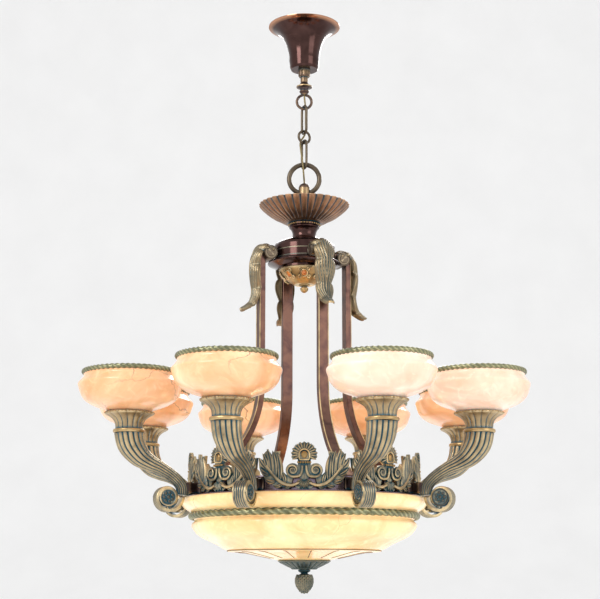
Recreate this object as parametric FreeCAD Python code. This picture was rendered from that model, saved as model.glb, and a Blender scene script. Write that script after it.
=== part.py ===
import FreeCAD
import Part
import math
import os

from FreeCAD import Vector

# Alabaster bowl pendant: a lamp of eight cups round one large bowl, hung on a short chain.
# Millimetres. The origin is on the ceiling, on the lamp's axis. +Z is up and -Y is the front.
# An azimuth is counted from the front, -Y, towards +X.

# ---- fits -------------------------------------------------------------------------------
THREAD_GAP = 0.05      # radial play of a screw thread, drawn as plain cylinders
SEAT_GAP = 0.3         # between a link and the wire it hangs on, and under curved seats
SLIP_GAP = 0.4         # a hole that only passes over a rod
THREAD_END_GAP = 2.0   # room beyond the end of a rod in its blind hole

# ---- ceiling fitting --------------------------------------------------------------------
BOX_SCREW_SPACING = 88.9
SLOT_WIDTH = 5.2
SLOT_LENGTH = 15.0
CROSSBAR_LENGTH = 112.0
CROSSBAR_WIDTH = 22.0
CROSSBAR_THICK = 2.5
ROD_R = 5.0            # every threaded tube and rod of the lamp
NIPPLE_BORE_R = 3.2
NIPPLE_LENGTH = 118.0
NUT_ACROSS = 16.0
NUT_HEIGHT = 6.0
CANOPY_R = 87.0
CANOPY_DEPTH = 111.0
CANOPY_THROAT_R = 37.0
CANOPY_WALL = 1.5
CANOPY_NUT_R = 14.4
CANOPY_NUT_HEIGHT = 18.5
CANOPY_NUT_FLUTES = 16
CANOPY_TRAVEL = 12.0   # how far the canopy comes down once its nut is unscrewed
COLLAR_R = 9.2
COLLAR_HEAD = 15.0     # length of the collar inside the canopy
FLARE_R = 19.0
FLARE_HEIGHT = 23.0
LOOP_NECK_R = 10.9
LOOP_NECK = 8.1         # from the flare's waist to the loop
LOOP_R = 17.7
LOOP_WIRE_R = 3.3

# ---- chain ------------------------------------------------------------------------------
LINK_WIRE_R = 3.0
LINK_WIDTH = 23.0      # between the centres of a link's two bars
LINK_LENGTH = 69.6     # between the centres of a link's two ends
LINK_TURN = 62.0       # turn of both links from the plane of the lamp's front
CHAIN_RING_R = 15.0
RING_R = 36.2          # the large ring over the crown
RING_WIRE_R = 5.7
CORD_R = 2.1
CORD_HOLE_R = 2.7
LOOP_CORD_R = 3.4       # wider, as the cord starts to bend inside the loop's neck

# ---- crown and hub ----------------------------------------------------------------------
STEM_R = 13.5
STEM_DOME_RISE = 12.9  # centre of the stem's domed head above the ring's wire
CROWN_DROP = 75.0      # from the ring's wire to the underside of the dish
STEM_CORD_OFFSET = 9.6
HUB_ROD_GRIP = 28.0    # depth of the thread in the stem's foot
WIRE_WAY_R = 12.4      # opening in the neck under the stem, for the cord
DISH_R = 108.5
DISH_DEPTH = 47.5
DISH_FOOT_R = 36.0
DISH_WALL = 3.0
DISH_FLUTES = 34
FLUTE_RATIO = 0.955   # radius in a flute as a share of the radius on a rib
NECK_RING_R = 37.5
NECK_RING_HEIGHT = 12.0
NECK_WAIST_R = 28.0
NECK_HEIGHT = 40.0
DRUM_R = 73.0
DRUM_SHOULDER = 19.0
DRUM_SIDE = 32.5
DRUM_WALL = 4.0
BAND_HEIGHT = 17.0
BAND_RISE = 12.0       # middle of the two fine lines above the drum's lower edge
BAND_GROOVE = 0.8
FLANGE_R = 86.0
FLANGE_HEIGHT = 22.0
HUB_CUP_R = 60.0
HUB_CUP_DEPTH = 35.0
ACORN_R = 10.0
ACORN_LENGTH = 19.0

# ---- straps and their leaves ------------------------------------------------------------
STRAPS = 4
STRAP_WIDTH = 25.0
STRAP_THICK = 13.0
STRAP_EDGE = 1.0
STRAP_R = 109.0        # from the axis to the middle of the upright stretch
STRAP_TOP_BEND = 20.0
STRAP_BEND_R = 240.0
STRAP_SLOPE = 52.0     # degrees from upright where a strap reaches the gallery
STRAP_DROP = 523.0     # from the hub drum's lower edge to the gallery's top
LEAF_WIDTH = 50.0
LEAF_SCROLL_R = 17.0
LEAF_LENGTH = 136.0
LEAF_TIP_REACH = 48.0  # how far the curled tip stands out from the strap

# ---- gallery ring and palmettes ---------------------------------------------------------
GALLERY_R = 248.0
GALLERY_WALL = 4.0
GALLERY_HEIGHT = 34.4
GALLERY_LIP = 4.0
GALLERY_SHELF = 22.0   # width of the inward lip that the straps stand on
GALLERY_FOOT_R = 268.0
GALLERY_FOOT = 2.6
PALMETTES = 8
PALMETTE_R = 256.0
PALMETTE_THICK = 6.0
FAN_RIBS = 11
FAN_R = 28.5
FAN_RISE = 43.0        # centre of the fan above the gallery's top
FAN_SPREAD = 232.0     # degrees
VOLUTE_R = 15.0
VOLUTE_RISE = 9.0
PALMETTE_STUD_R = 6.0
VOLUTE_SPREAD = 24.5
LEAF_SPAN = 96.0

# ---- arms -------------------------------------------------------------------------------
ARMS = 8
ARM_REACH = 418.0
ARM_RISE = 103.0       # the arm's gold ring above the gallery's top
ARM_FLUTES = 16
HORN_FLUTE_RATIO = 0.90
ARM_TOP_R = 33.0
ARM_FOOT_R = 293.5     # from the lamp's axis to the middle of the arm's foot
ARM_FOOT_DROP = 34.0   # end of the arm's straight foot below the gallery's top
ARM_FOOT_THICK = 28.0
ARM_FOOT_WIDTH = 25.0
ARM_RING_R = 35.4
ARM_RING_BEAD = 4.5
SCROLL_R = 23.0
SCROLL_WIDTH = 31.0
ARM_BLOCK_WIDTH = 20.0
ARM_BLOCK_HEIGHT = 27.0
# The horn's middle line and section: share of the way in, share of the way down, and half
# the thickness and half the width as shares of the horn's radius at its mouth.
HORN_STATIONS = (
    (0.00, 0.00, 1.00, 1.00),
    (0.05, 0.20, 0.96, 0.95),
    (0.19, 0.38, 0.77, 0.83),
    (0.36, 0.485, 0.59, 0.70),
    (0.58, 0.575, 0.46, 0.58),
    (0.79, 0.685, 0.41, 0.48),
    (0.94, 0.80, 0.41, 0.41),
)

# ---- cups -------------------------------------------------------------------------------
CALYX_R = 55.2
CALYX_NECK_R = 31.0
CALYX_HEIGHT = 38.5
CALYX_FLUTES = 24
CALYX_SHELF = 5.0      # depth of the seat for the cup inside the calyx
CUP_R = 115.4
CUP_NECK_R = 102.5
CUP_RIM_R = 103.5
CUP_FOOT_R = 44.0
CUP_HEIGHT = 87.3
CUP_BULGE = 24.8       # the widest line below the rim
CUP_WALL = 7.0
ROPE_R = 5.0
SOCKET_R = 12.0
SOCKET_HEIGHT = 36.0
CUP_BULB_R = 17.0
CUP_BULB_HEIGHT = 38.0

# ---- bowl and finial --------------------------------------------------------------------
BOWL_R = 282.8
BOWL_GAP = 0.4
BOWL_WALL = 9.0
BOWL_ROPE_SETBACK = 24.8  # from the bowl's widest line in to the rope
BOWL_SHOULDER_R = 257.7
BOWL_PANEL_R = 176.0
BOWL_COVE_DEPTH = 38.0
BOWL_BODY_DEPTH = 118.0
BOWL_DEPTH = 140.0
CAP_R = 61.0
CAP_DEPTH = 20.0
CAP_FLUTES = 24
PINE_R = 21.0
PINE_LENGTH = 54.0
FINIAL_TRAVEL = 24.0   # thread that the finial can be unscrewed along
SPIDER_ARM_WIDTH = 20.0
SPIDER_THICK = 4.0
SPIDER_HUB_R = 18.0
SPIDER_HUB_HEIGHT = 14.0
BOWL_LAMPS = 4
BOWL_LAMP_R = 120.0
BOWL_SOCKET_R = 14.0
BOWL_SOCKET_HEIGHT = 34.0
BOWL_BULB_R = 27.0
BOWL_BULB_HEIGHT = 62.0

# ---- screws -----------------------------------------------------------------------------
SCREW_R = 3.0
SCREW_HEAD_R = 5.5
SCREW_HEAD = 3.0
SCREW_LENGTH = 22.0

# ---- heights that follow from the sizes above -------------------------------------------
collar_top = -CANOPY_DEPTH + COLLAR_HEAD
canopy_nut_top = -CANOPY_DEPTH - SEAT_GAP
collar_foot = canopy_nut_top - CANOPY_NUT_HEIGHT - CANOPY_TRAVEL - 1.2
loop_neck_foot = collar_foot - FLARE_HEIGHT - LOOP_NECK
loop_z = loop_neck_foot - LOOP_R + LOOP_WIRE_R - 4.0
loop_seat = loop_z - LOOP_R
upper_link_top = loop_seat + LOOP_WIRE_R + SEAT_GAP + LINK_WIRE_R
upper_link_foot = upper_link_top - LINK_LENGTH
chain_ring_z = upper_link_foot + 2 * LINK_WIRE_R + SEAT_GAP - CHAIN_RING_R
chain_ring_seat = chain_ring_z - CHAIN_RING_R
lower_link_top = chain_ring_seat + 2 * LINK_WIRE_R + SEAT_GAP
lower_link_foot = lower_link_top - LINK_LENGTH
ring_z = lower_link_foot + LINK_WIRE_R + SEAT_GAP + RING_WIRE_R - RING_R
ring_seat = ring_z - RING_R
crown_z = ring_seat - CROWN_DROP
stem_foot = crown_z + DISH_WALL
dish_rim = crown_z + DISH_DEPTH
drum_top = crown_z - NECK_HEIGHT
drum_foot = drum_top - DRUM_SHOULDER - DRUM_SIDE
tongue_z = drum_foot + DRUM_SIDE / 2
flange_foot = drum_foot - FLANGE_HEIGHT
hub_cup_foot = flange_foot - HUB_CUP_DEPTH
gallery_top = drum_foot - STRAP_DROP
gallery_foot = gallery_top - GALLERY_HEIGHT
arm_ring_z = gallery_top + ARM_RISE
calyx_top = arm_ring_z + ARM_RING_BEAD + CALYX_HEIGHT
cup_foot = calyx_top - CALYX_SHELF + SEAT_GAP
cup_rim = cup_foot + CUP_HEIGHT
bowl_rim = gallery_foot - BOWL_GAP
bowl_rope_r = BOWL_R - BOWL_ROPE_SETBACK
bowl_foot = bowl_rim - BOWL_DEPTH
cap_foot = bowl_foot - CAP_DEPTH
spider_z = gallery_foot + GALLERY_FOOT + SPIDER_THICK
rod_foot = cap_foot - FINIAL_TRAVEL - 8.0

X_AXIS = Vector(1, 0, 0)
Y_AXIS = Vector(0, 1, 0)
Z_AXIS = Vector(0, 0, 1)
CENTRE = Vector(0, 0, 0)


# ---- drawing helpers --------------------------------------------------------------------
def edges_of(start, moves):
    """Edges in the XZ plane: a move of two numbers is a line, of four an arc through a point."""
    here = Vector(start[0], 0, start[1])
    edges = []
    for move in moves:
        there = Vector(move[-2], 0, move[-1])
        if len(move) == 2:
            edges.append(Part.makeLine(here, there))
        else:
            edges.append(Part.Arc(here, Vector(move[0], 0, move[1]), there).toShape())
        here = there
    return edges


def face_of(start, *moves):
    """A closed face in the XZ plane; a line closes it where the last move does not."""
    if moves[-1][-2:] != start:
        moves = moves + (start,)
    return Part.Face(Part.Wire(edges_of(start, moves)))


def spun(start, *moves):
    """A solid of revolution about the Z axis."""
    return face_of(start, *moves).revolve(CENTRE, Z_AXIS, 360)


def rod(radius, top, foot, x=0.0, y=0.0):
    return Part.makeCylinder(radius, top - foot, Vector(x, y, foot))


def tube(radius, bore, top, foot):
    return rod(radius, top, foot).cut(rod(bore, top, foot))


def at_azimuth(shape, azimuth):
    """Turn a shape that is drawn along +X to an azimuth of the lamp."""
    turned = shape.copy()
    turned.rotate(CENTRE, Z_AXIS, azimuth - 90.0)
    return turned


def azimuths(count, first):
    return [first + 360.0 * n / count for n in range(count)]


ARM_AZIMUTHS = azimuths(ARMS, 180.0 / ARMS)
STRAP_AZIMUTHS = azimuths(STRAPS, 180.0 / ARMS)
PALMETTE_AZIMUTHS = azimuths(PALMETTES, 0.0)
LAMP_AZIMUTHS = azimuths(BOWL_LAMPS, 0.0)


def all_round(shape, places):
    return Part.makeCompound([at_azimuth(shape, azimuth) for azimuth in places])


def cutters_round(cutter, count):
    """Copies of one cutter, evenly spaced about the Z axis."""
    return all_round(cutter, azimuths(count, 0.0))


def piped(section, path):
    """Sweep a closed section along a wire of lines and tangent arcs."""
    pipe = Part.BRepOffsetAPI.MakePipeShell(path)
    pipe.setFrenetMode(False)
    pipe.add(section)
    pipe.build()
    pipe.makeSolid()
    return Part.Solid(pipe.shape())


def fluted(rows, count):
    """A tapering body with straight flutes; rows give its radius and height, foot first."""
    wires = []
    for radius, z in rows:
        corners = []
        for n in range(2 * count + 1):
            angle = math.pi * n / count
            reach = radius * (FLUTE_RATIO if n % 2 else 1.0)
            corners.append(Vector(reach * math.cos(angle), reach * math.sin(angle), z))
        wires.append(Part.makePolygon(corners))
    return Part.makeLoft(wires, True, True)


def torus(radius, wire_r, z, turn=0.0):
    """A ring of round wire that stands upright; turn 0 faces the front."""
    ring = Part.makeTorus(radius, wire_r, Vector(0, 0, z), Y_AXIS)
    ring.rotate(CENTRE, Z_AXIS, turn)
    return ring


def screw(wall_x, z, length):
    """A pan-head screw that points outwards along X, its head just off the wall it holds."""
    seat = wall_x - SEAT_GAP
    shank = Part.makeCylinder(SCREW_R, length, Vector(seat, 0, z), X_AXIS)
    head = Part.makeCone(SCREW_HEAD_R - 1, SCREW_HEAD_R, SCREW_HEAD, Vector(seat - SCREW_HEAD, 0, z), X_AXIS)
    return shank.fuse(head)


def screw_hole(from_x, to_x, z):
    return Part.makeCylinder(SCREW_R + THREAD_GAP, to_x - from_x, Vector(from_x, 0, z), X_AXIS)


# ---- ceiling fitting --------------------------------------------------------------------
def crossbar():
    bar = Part.makeBox(
        CROSSBAR_LENGTH, CROSSBAR_WIDTH, CROSSBAR_THICK,
        Vector(-CROSSBAR_LENGTH / 2, -CROSSBAR_WIDTH / 2, -CROSSBAR_THICK),
    )
    uprights = [e for e in bar.Edges if abs(e.tangentAt(e.FirstParameter).z) > 0.9]
    bar = bar.makeFillet(CROSSBAR_WIDTH / 4, uprights)
    straight = SLOT_LENGTH - SLOT_WIDTH
    for side in (-1, 1):
        middle = side * BOX_SCREW_SPACING / 2
        slot = Part.makeBox(
            straight,
            SLOT_WIDTH,
            CROSSBAR_THICK,
            Vector(middle - straight / 2, -SLOT_WIDTH / 2, -CROSSBAR_THICK),
        )
        for end in (-1, 1):
            slot = slot.fuse(rod(SLOT_WIDTH / 2, 0, -CROSSBAR_THICK, middle + end * straight / 2))
        bar = bar.cut(slot)
    return bar.cut(rod(ROD_R + THREAD_GAP, 0, -CROSSBAR_THICK))


def nipple():
    return tube(ROD_R, NIPPLE_BORE_R, 0, -NIPPLE_LENGTH)


def nipple_nut():
    corner = NUT_ACROSS / 2 / math.cos(math.pi / 6)
    corners = []
    for n in range(7):
        angle = n * math.pi / 3
        foot = -CROSSBAR_THICK - NUT_HEIGHT
        corners.append(Vector(corner * math.cos(angle), corner * math.sin(angle), foot))
    nut = Part.Face(Part.makePolygon(corners)).extrude(Z_AXIS * NUT_HEIGHT)
    return nut.cut(rod(ROD_R + THREAD_GAP, -CROSSBAR_THICK, -CROSSBAR_THICK - NUT_HEIGHT))


def canopy_outline(wall):
    """The bell from its rim to its floor, as far inside the outer face as the wall."""
    waist_z = -0.27 * CANOPY_DEPTH
    return (
        (CANOPY_R - wall, 0),
        (CANOPY_R - wall, -1.5),
        (0.77 * CANOPY_R - wall, -0.095 * CANOPY_DEPTH, CANOPY_THROAT_R + 13.3 - wall, waist_z),
        (CANOPY_THROAT_R + 4.2 - wall, -0.49 * CANOPY_DEPTH, CANOPY_THROAT_R - wall, -0.78 * CANOPY_DEPTH),
        (CANOPY_THROAT_R - 2.2 - wall, wall - 0.95 * CANOPY_DEPTH),
        (CANOPY_THROAT_R - 5 - wall, wall - CANOPY_DEPTH),
    )


def canopy():
    outside = canopy_outline(0.0)
    inside = canopy_outline(CANOPY_WALL)
    bell = spun(*outside, (0, -CANOPY_DEPTH), (0, 0))
    hollow = spun(*inside, (0, CANOPY_WALL - CANOPY_DEPTH), (0, 0))
    return bell.cut(hollow).cut(rod(COLLAR_R + SLIP_GAP, 0, -CANOPY_DEPTH))


def canopy_nut():
    """Knurled nut that holds the canopy up on the collar."""
    foot = canopy_nut_top - CANOPY_NUT_HEIGHT
    knurl = fluted(
        (
            (CANOPY_NUT_R - 2, foot),
            (CANOPY_NUT_R, foot + 3),
            (CANOPY_NUT_R, canopy_nut_top - 2.5),
        ),
        CANOPY_NUT_FLUTES,
    )
    flange = rod(CANOPY_NUT_R, canopy_nut_top, canopy_nut_top - 2.5)
    return knurl.fuse(flange).cut(rod(COLLAR_R + THREAD_GAP, canopy_nut_top, foot))


def canopy_loop():
    """Screw collar with a flared skirt and the round loop that the chain hangs on."""
    widest = collar_foot - 0.45 * FLARE_HEIGHT
    waist = collar_foot - 0.94 * FLARE_HEIGHT
    body = spun(
        (0, collar_top),
        (COLLAR_R, collar_top),
        (COLLAR_R, collar_foot),
        (COLLAR_R + 3.4, widest + 3.6, FLARE_R, widest),
        (FLARE_R, widest - 2.5),
        (LOOP_NECK_R + 1, waist + 6.0, LOOP_NECK_R - 1.0, waist),
        (LOOP_NECK_R + 1, waist - 1.8, LOOP_NECK_R, waist - 3.8),
        (LOOP_NECK_R - 4.5, loop_neck_foot - 1),
        (0, loop_neck_foot - 1),
    )
    loop = body.fuse(torus(LOOP_R, LOOP_WIRE_R, loop_z))
    loop = loop.cut(rod(ROD_R + THREAD_GAP, collar_top, -NIPPLE_LENGTH - 1))
    return loop.cut(rod(LOOP_CORD_R, -NIPPLE_LENGTH, loop_neck_foot - 2 * LOOP_WIRE_R - 1))


# ---- chain ------------------------------------------------------------------------------
def link(top):
    """A long link of round wire: two straight bars and two half rings."""
    half = LINK_WIDTH / 2
    foot = top - LINK_LENGTH
    path = Part.Wire(edges_of(
        (half, foot + half),
        (
            (half, top - half),
            (0, top, -half, top - half),
            (-half, foot + half),
            (0, foot, half, foot + half),
        ),
    ))
    section = Part.Wire(Part.makeCircle(LINK_WIRE_R, Vector(half, 0, foot + half), Z_AXIS))
    bent = piped(section, path)
    bent.rotate(CENTRE, Z_AXIS, -LINK_TURN)
    return bent


def bell_mouthed_hole():
    """The stem's cross hole: it widens to both ends, as the ring's wire curves up through it."""
    wire_inside = RING_R - RING_WIRE_R - SEAT_GAP
    reach = STEM_R + 1
    edge = RING_R - math.sqrt(wire_inside ** 2 - reach ** 2)
    throat = Part.Arc(
        Vector(-reach, 0, edge), Vector(0, 0, RING_WIRE_R + SEAT_GAP), Vector(reach, 0, edge)
    ).toShape()
    sides = Part.makePolygon([
        Vector(reach, 0, edge),
        Vector(reach, 0, 0),
        Vector(-reach, 0, 0),
        Vector(-reach, 0, edge),
    ])
    hole = Part.Face(Part.Wire([throat] + sides.Edges)).revolve(CENTRE, X_AXIS, 360)
    hole.translate(Vector(0, 0, ring_seat))
    return hole


def hanger_stem():
    dome_z = ring_seat + STEM_DOME_RISE
    stem = spun(
        (0, stem_foot),
        (STEM_R, stem_foot),
        (STEM_R, dome_z),
        (STEM_R * math.sqrt(0.5), dome_z + STEM_R * math.sqrt(0.5), 0, dome_z + STEM_R),
    )
    stem = stem.cut(bell_mouthed_hole())
    stem = stem.cut(rod(CORD_HOLE_R, dome_z + STEM_R, stem_foot, 0, STEM_CORD_OFFSET))
    return stem.cut(rod(ROD_R + THREAD_GAP, stem_foot + HUB_ROD_GRIP, stem_foot))


# ---- crown and hub ----------------------------------------------------------------------
def crown_dish():
    """Shallow dish, fluted on its outside up to a scalloped rim."""
    rows = (
        (DISH_FOOT_R, crown_z),
        (0.56 * DISH_R, dish_rim - 0.80 * DISH_DEPTH),
        (0.80 * DISH_R, dish_rim - 0.47 * DISH_DEPTH),
        (0.955 * DISH_R, dish_rim - 0.22 * DISH_DEPTH),
        (DISH_R, dish_rim),
    )
    inner_rim = FLUTE_RATIO * DISH_R - DISH_WALL
    hollow = spun(
        (0, crown_z + DISH_WALL),
        (DISH_FOOT_R, crown_z + DISH_WALL),
        (0.74 * DISH_R, dish_rim - 0.46 * DISH_DEPTH),
        (inner_rim - 4, dish_rim - 0.20 * DISH_DEPTH),
        (inner_rim, dish_rim),
        (0, dish_rim),
    )
    return fluted(rows, DISH_FLUTES).cut(hollow).cut(rod(WIRE_WAY_R, crown_z + DISH_WALL, crown_z))


def crown_neck():
    """Spool between dish and hub: a flat ring, a gold bead and a drawn-in waist."""
    ring_foot = crown_z - NECK_RING_HEIGHT
    neck = spun(
        (0, crown_z),
        (NECK_RING_R - 1.5, crown_z),
        (NECK_RING_R, crown_z - 1.5),
        (NECK_RING_R, crown_z - 6),
        (NECK_RING_R - 2.5, crown_z - 7),
        (NECK_RING_R - 1.5, crown_z - 9.5, NECK_RING_R - 3.5, ring_foot),
        (NECK_WAIST_R, (ring_foot + drum_top) / 2, NECK_WAIST_R + 4, drum_top),
        (0, drum_top),
    )
    return neck.cut(rod(WIRE_WAY_R, crown_z, drum_top))


def hub_drum():
    """Hollow drum that carries the four straps, with two fine lines round its middle."""
    shoulder = drum_top - DRUM_SHOULDER
    inner = DRUM_R - DRUM_WALL
    drum = spun(
        (ROD_R + SLIP_GAP, drum_top),
        (NECK_WAIST_R + 5, drum_top),
        (NECK_WAIST_R + 25, drum_top - 3.5, DRUM_R - 2.5, shoulder + 5.5),
        (DRUM_R, shoulder),
        (DRUM_R, drum_foot),
        (inner, drum_foot),
        (inner, shoulder),
        (NECK_WAIST_R + 22, drum_top - 6 - DRUM_WALL),
        (ROD_R + SLIP_GAP, drum_top - DRUM_WALL),
    )
    middle = drum_foot + BAND_RISE
    for side in (-1, 1):
        z = middle + side * BAND_HEIGHT / 2
        line = tube(DRUM_R + 1, DRUM_R - BAND_GROOVE, z + BAND_GROOVE, z - BAND_GROOVE)
        drum = drum.cut(line)
    return drum.cut(all_round(screw_hole(inner - 2, DRUM_R + 2, tongue_z), STRAP_AZIMUTHS))


def hub_flange():
    return spun(
        (ROD_R + SLIP_GAP, drum_foot),
        (DRUM_R + 1, drum_foot),
        (DRUM_R + 7, drum_foot - 1.5, FLANGE_R - 1.5, drum_foot - 4.5),
        (FLANGE_R + 0.5, drum_foot - 6.5, FLANGE_R - 1.5, drum_foot - 8.5),
        (DRUM_R, drum_foot - 13, HUB_CUP_R + 5, drum_foot - 17),
        (HUB_CUP_R + 5, flange_foot),
        (ROD_R + SLIP_GAP, flange_foot),
    )


def hub_cup():
    """Turned bowl under the hub, with eight shallow flats for its cartouches."""
    cup = spun(
        (ROD_R + SLIP_GAP, flange_foot),
        (HUB_CUP_R, flange_foot),
        (HUB_CUP_R - 1, flange_foot - 4),
        (0.72 * HUB_CUP_R, flange_foot - 0.63 * HUB_CUP_DEPTH, 0.40 * HUB_CUP_R, hub_cup_foot),
        (ROD_R + SLIP_GAP, hub_cup_foot),
    )
    lean = math.degrees(math.atan2(0.5 * HUB_CUP_R, HUB_CUP_DEPTH))
    height = 3 * HUB_CUP_DEPTH
    flat = Part.makeBox(HUB_CUP_R, HUB_CUP_R, height, Vector(0, -HUB_CUP_R / 2, -height / 2))
    flat.rotate(CENTRE, Y_AXIS, lean)
    flat.translate(Vector(0.82 * HUB_CUP_R, 0, flange_foot - 0.5 * HUB_CUP_DEPTH))
    return cup.cut(cutters_round(flat, 2 * STRAPS))


def hub_acorn():
    foot = hub_cup_foot - ACORN_LENGTH
    nut = spun(
        (0, hub_cup_foot),
        (ACORN_R + 3, hub_cup_foot),
        (ACORN_R + 3, hub_cup_foot - 2),
        (ACORN_R - 3.5, hub_cup_foot - 4),
        (ACORN_R - 3.5, hub_cup_foot - 6),
        (ACORN_R - 0.5, hub_cup_foot - 7.5),
        (ACORN_R, hub_cup_foot - 9.5),
        (ACORN_R - 1.5, foot + 5),
        (ACORN_R - 5, foot + 1.5),
        (2, foot),
        (0, foot),
    )
    return nut.cut(rod(ROD_R + THREAD_GAP, hub_cup_foot, hub_cup_foot - 4))


def hub_rod():
    return rod(ROD_R, stem_foot + HUB_ROD_GRIP - THREAD_END_GAP, hub_cup_foot - 3.5)


# ---- straps and leaves ------------------------------------------------------------------
def strap_bar(width, thick, edge):
    """Flat bar: a tongue on the hub, a long upright, and a wide bend out to the gallery."""
    slope = math.radians(STRAP_SLOPE)
    turn_z = gallery_top
    bend_x = STRAP_R + STRAP_BEND_R * (1 - math.cos(slope))
    run = (GALLERY_R - GALLERY_WALL - bend_x) / math.sin(slope)
    bend_z = turn_z + run * math.cos(slope)
    start_z = bend_z + STRAP_BEND_R * math.sin(slope)
    over = 2 * thick
    half_x = STRAP_R + STRAP_BEND_R * (1 - math.cos(slope / 2))
    half_z = start_z - STRAP_BEND_R * math.sin(slope / 2)
    corner = STRAP_TOP_BEND * (1 - math.sqrt(0.5))
    path = Part.Wire(edges_of(
        (DRUM_R + SEAT_GAP, tongue_z),
        (
            (STRAP_R - STRAP_TOP_BEND, tongue_z),
            (STRAP_R - corner, tongue_z - corner, STRAP_R, tongue_z - STRAP_TOP_BEND),
            (STRAP_R, start_z),
            (half_x, half_z, bend_x, bend_z),
            (bend_x + (run + over) * math.sin(slope), bend_z - (run + over) * math.cos(slope)),
        ),
    ))
    across, up = width / 2, thick / 2
    corners = (
        (across - edge, up),
        (across, up - edge),
        (across, edge - up),
        (across - edge, -up),
        (edge - across, -up),
        (-across, edge - up),
        (-across, up - edge),
        (edge - across, up),
        (across - edge, up),
    )
    section = Part.makePolygon([Vector(DRUM_R + SEAT_GAP, y, tongue_z + z) for y, z in corners])
    return piped(section, path)


def below(z, reach=2 * ARM_REACH):
    return Part.makeBox(reach, reach, reach, Vector(-reach / 2, -reach / 2, z - reach))


def strap():
    bar = strap_bar(STRAP_WIDTH, STRAP_THICK, STRAP_EDGE).cut(below(gallery_top))
    bar = bar.cut(screw_hole(DRUM_R, DRUM_R + SCREW_LENGTH, tongue_z))
    return bar.cut(rod(SCREW_R + THREAD_GAP, gallery_top + SCREW_LENGTH, gallery_top, foot_screw_x()))


def foot_screw_x():
    return GALLERY_R - GALLERY_WALL - 6.0


def strap_leaf():
    """Acanthus leaf that rolls over a scroll on the hub and hangs down outside its strap."""
    scroll_x = DRUM_R + LEAF_SCROLL_R + 3
    scroll_z = tongue_z - 6
    back = STRAP_R + STRAP_THICK / 2 + SEAT_GAP
    tip_z = scroll_z - LEAF_LENGTH
    side = face_of(
        (scroll_x - LEAF_SCROLL_R, scroll_z),
        (scroll_x - 8, scroll_z + LEAF_SCROLL_R + 3, scroll_x + 10, scroll_z + LEAF_SCROLL_R + 5),
        (back + 21, scroll_z - 2, back + 24, scroll_z - 30),
        (back + 21, scroll_z - 66, back + 19, scroll_z - 98),
        (back + 24, tip_z + 16, back + LEAF_TIP_REACH, tip_z),
        (back + 26, tip_z + 1, back + 12, tip_z + 13),
        (back + 3, scroll_z - 102, back, scroll_z - 80),
        (back, scroll_z - 40),
        (scroll_x - 6, scroll_z - LEAF_SCROLL_R - 8),
        (scroll_x - LEAF_SCROLL_R, scroll_z - 6, scroll_x - LEAF_SCROLL_R, scroll_z),
    )
    half = LEAF_WIDTH / 2
    slab = side.extrude(Y_AXIS * LEAF_WIDTH)
    slab.translate(Vector(0, -half, 0))
    leaf = slab.common(leaf_front(half, scroll_z, tip_z))
    clear = strap_bar(STRAP_WIDTH + 2 * SEAT_GAP, STRAP_THICK + 2 * SEAT_GAP, STRAP_EDGE)
    drum = rod(DRUM_R + SEAT_GAP, drum_top, drum_foot)
    flange = rod(FLANGE_R + 2 * SEAT_GAP, drum_foot + SEAT_GAP, flange_foot)
    return leaf.cut(clear).cut(drum).cut(flange)


def leaf_front(half, top, tip_z):
    """The leaf's outline from the front: lobes that step in towards the tip."""
    levels = (top + 30, top - 24, top - 52, top - 80, top - 106, tip_z - 2)
    widths = (0.92 * half, half, 0.90 * half, 0.80 * half, 0.66 * half, 0.30 * half)
    moves = []
    for n in range(len(levels) - 1):
        lobe = max(widths[n], widths[n + 1]) + 2.0
        moves.append((lobe, (levels[n] + levels[n + 1]) / 2, widths[n + 1], levels[n + 1]))
    for n in range(len(levels) - 1, 0, -1):
        lobe = max(widths[n], widths[n - 1]) + 2.0
        start = () if moves[-1][-2] < 0 else ((-widths[n], levels[n]),)
        moves.extend(start)
        moves.append((-lobe, (levels[n] + levels[n - 1]) / 2, -widths[n - 1], levels[n - 1]))
    front = face_of((widths[0], levels[0]), *moves)
    front.rotate(CENTRE, Z_AXIS, 90)
    return front.extrude(X_AXIS * (STRAP_R + 4 * LEAF_TIP_REACH))


def strap_screws():
    hub = screw(DRUM_R - DRUM_WALL, tongue_z, SCREW_LENGTH)
    foot = screw(0, 0, GALLERY_LIP + SCREW_LENGTH - 6)
    foot.rotate(CENTRE, Y_AXIS, -90)
    foot.translate(Vector(foot_screw_x(), 0, gallery_top - GALLERY_LIP))
    both = []
    for azimuth in STRAP_AZIMUTHS:
        both.append(at_azimuth(hub, azimuth))
        both.append(at_azimuth(foot, azimuth))
    return Part.makeCompound(both)


# ---- gallery ring and palmettes ---------------------------------------------------------
def gallery_ring():
    """Rolled channel: a shelf for the straps, a polished band, and a foot over the bowl's rim."""
    inner = GALLERY_R - GALLERY_WALL
    shelf = GALLERY_R - GALLERY_SHELF
    lip_foot = gallery_top - GALLERY_LIP
    foot_top = gallery_foot + GALLERY_FOOT
    ring = spun(
        (shelf, gallery_top),
        (GALLERY_R + 1, gallery_top),
        (GALLERY_R + 2.5, gallery_top - GALLERY_LIP / 2, GALLERY_R + 1, lip_foot),
        (GALLERY_R, lip_foot),
        (GALLERY_R, foot_top),
        (GALLERY_FOOT_R - 1, foot_top),
        (GALLERY_FOOT_R, (foot_top + gallery_foot) / 2, GALLERY_FOOT_R - 1, gallery_foot),
        (shelf, gallery_foot),
        (shelf, foot_top),
        (inner, foot_top),
        (inner, lip_foot),
        (shelf, lip_foot),
    )
    band_hole = screw_hole(inner - 1, GALLERY_R + 1, arm_screw_z())
    shelf_hole = rod(SCREW_R + THREAD_GAP, gallery_top, lip_foot, foot_screw_x())
    return ring.cut(all_round(band_hole, ARM_AZIMUTHS)).cut(all_round(shelf_hole, STRAP_AZIMUTHS))


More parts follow.
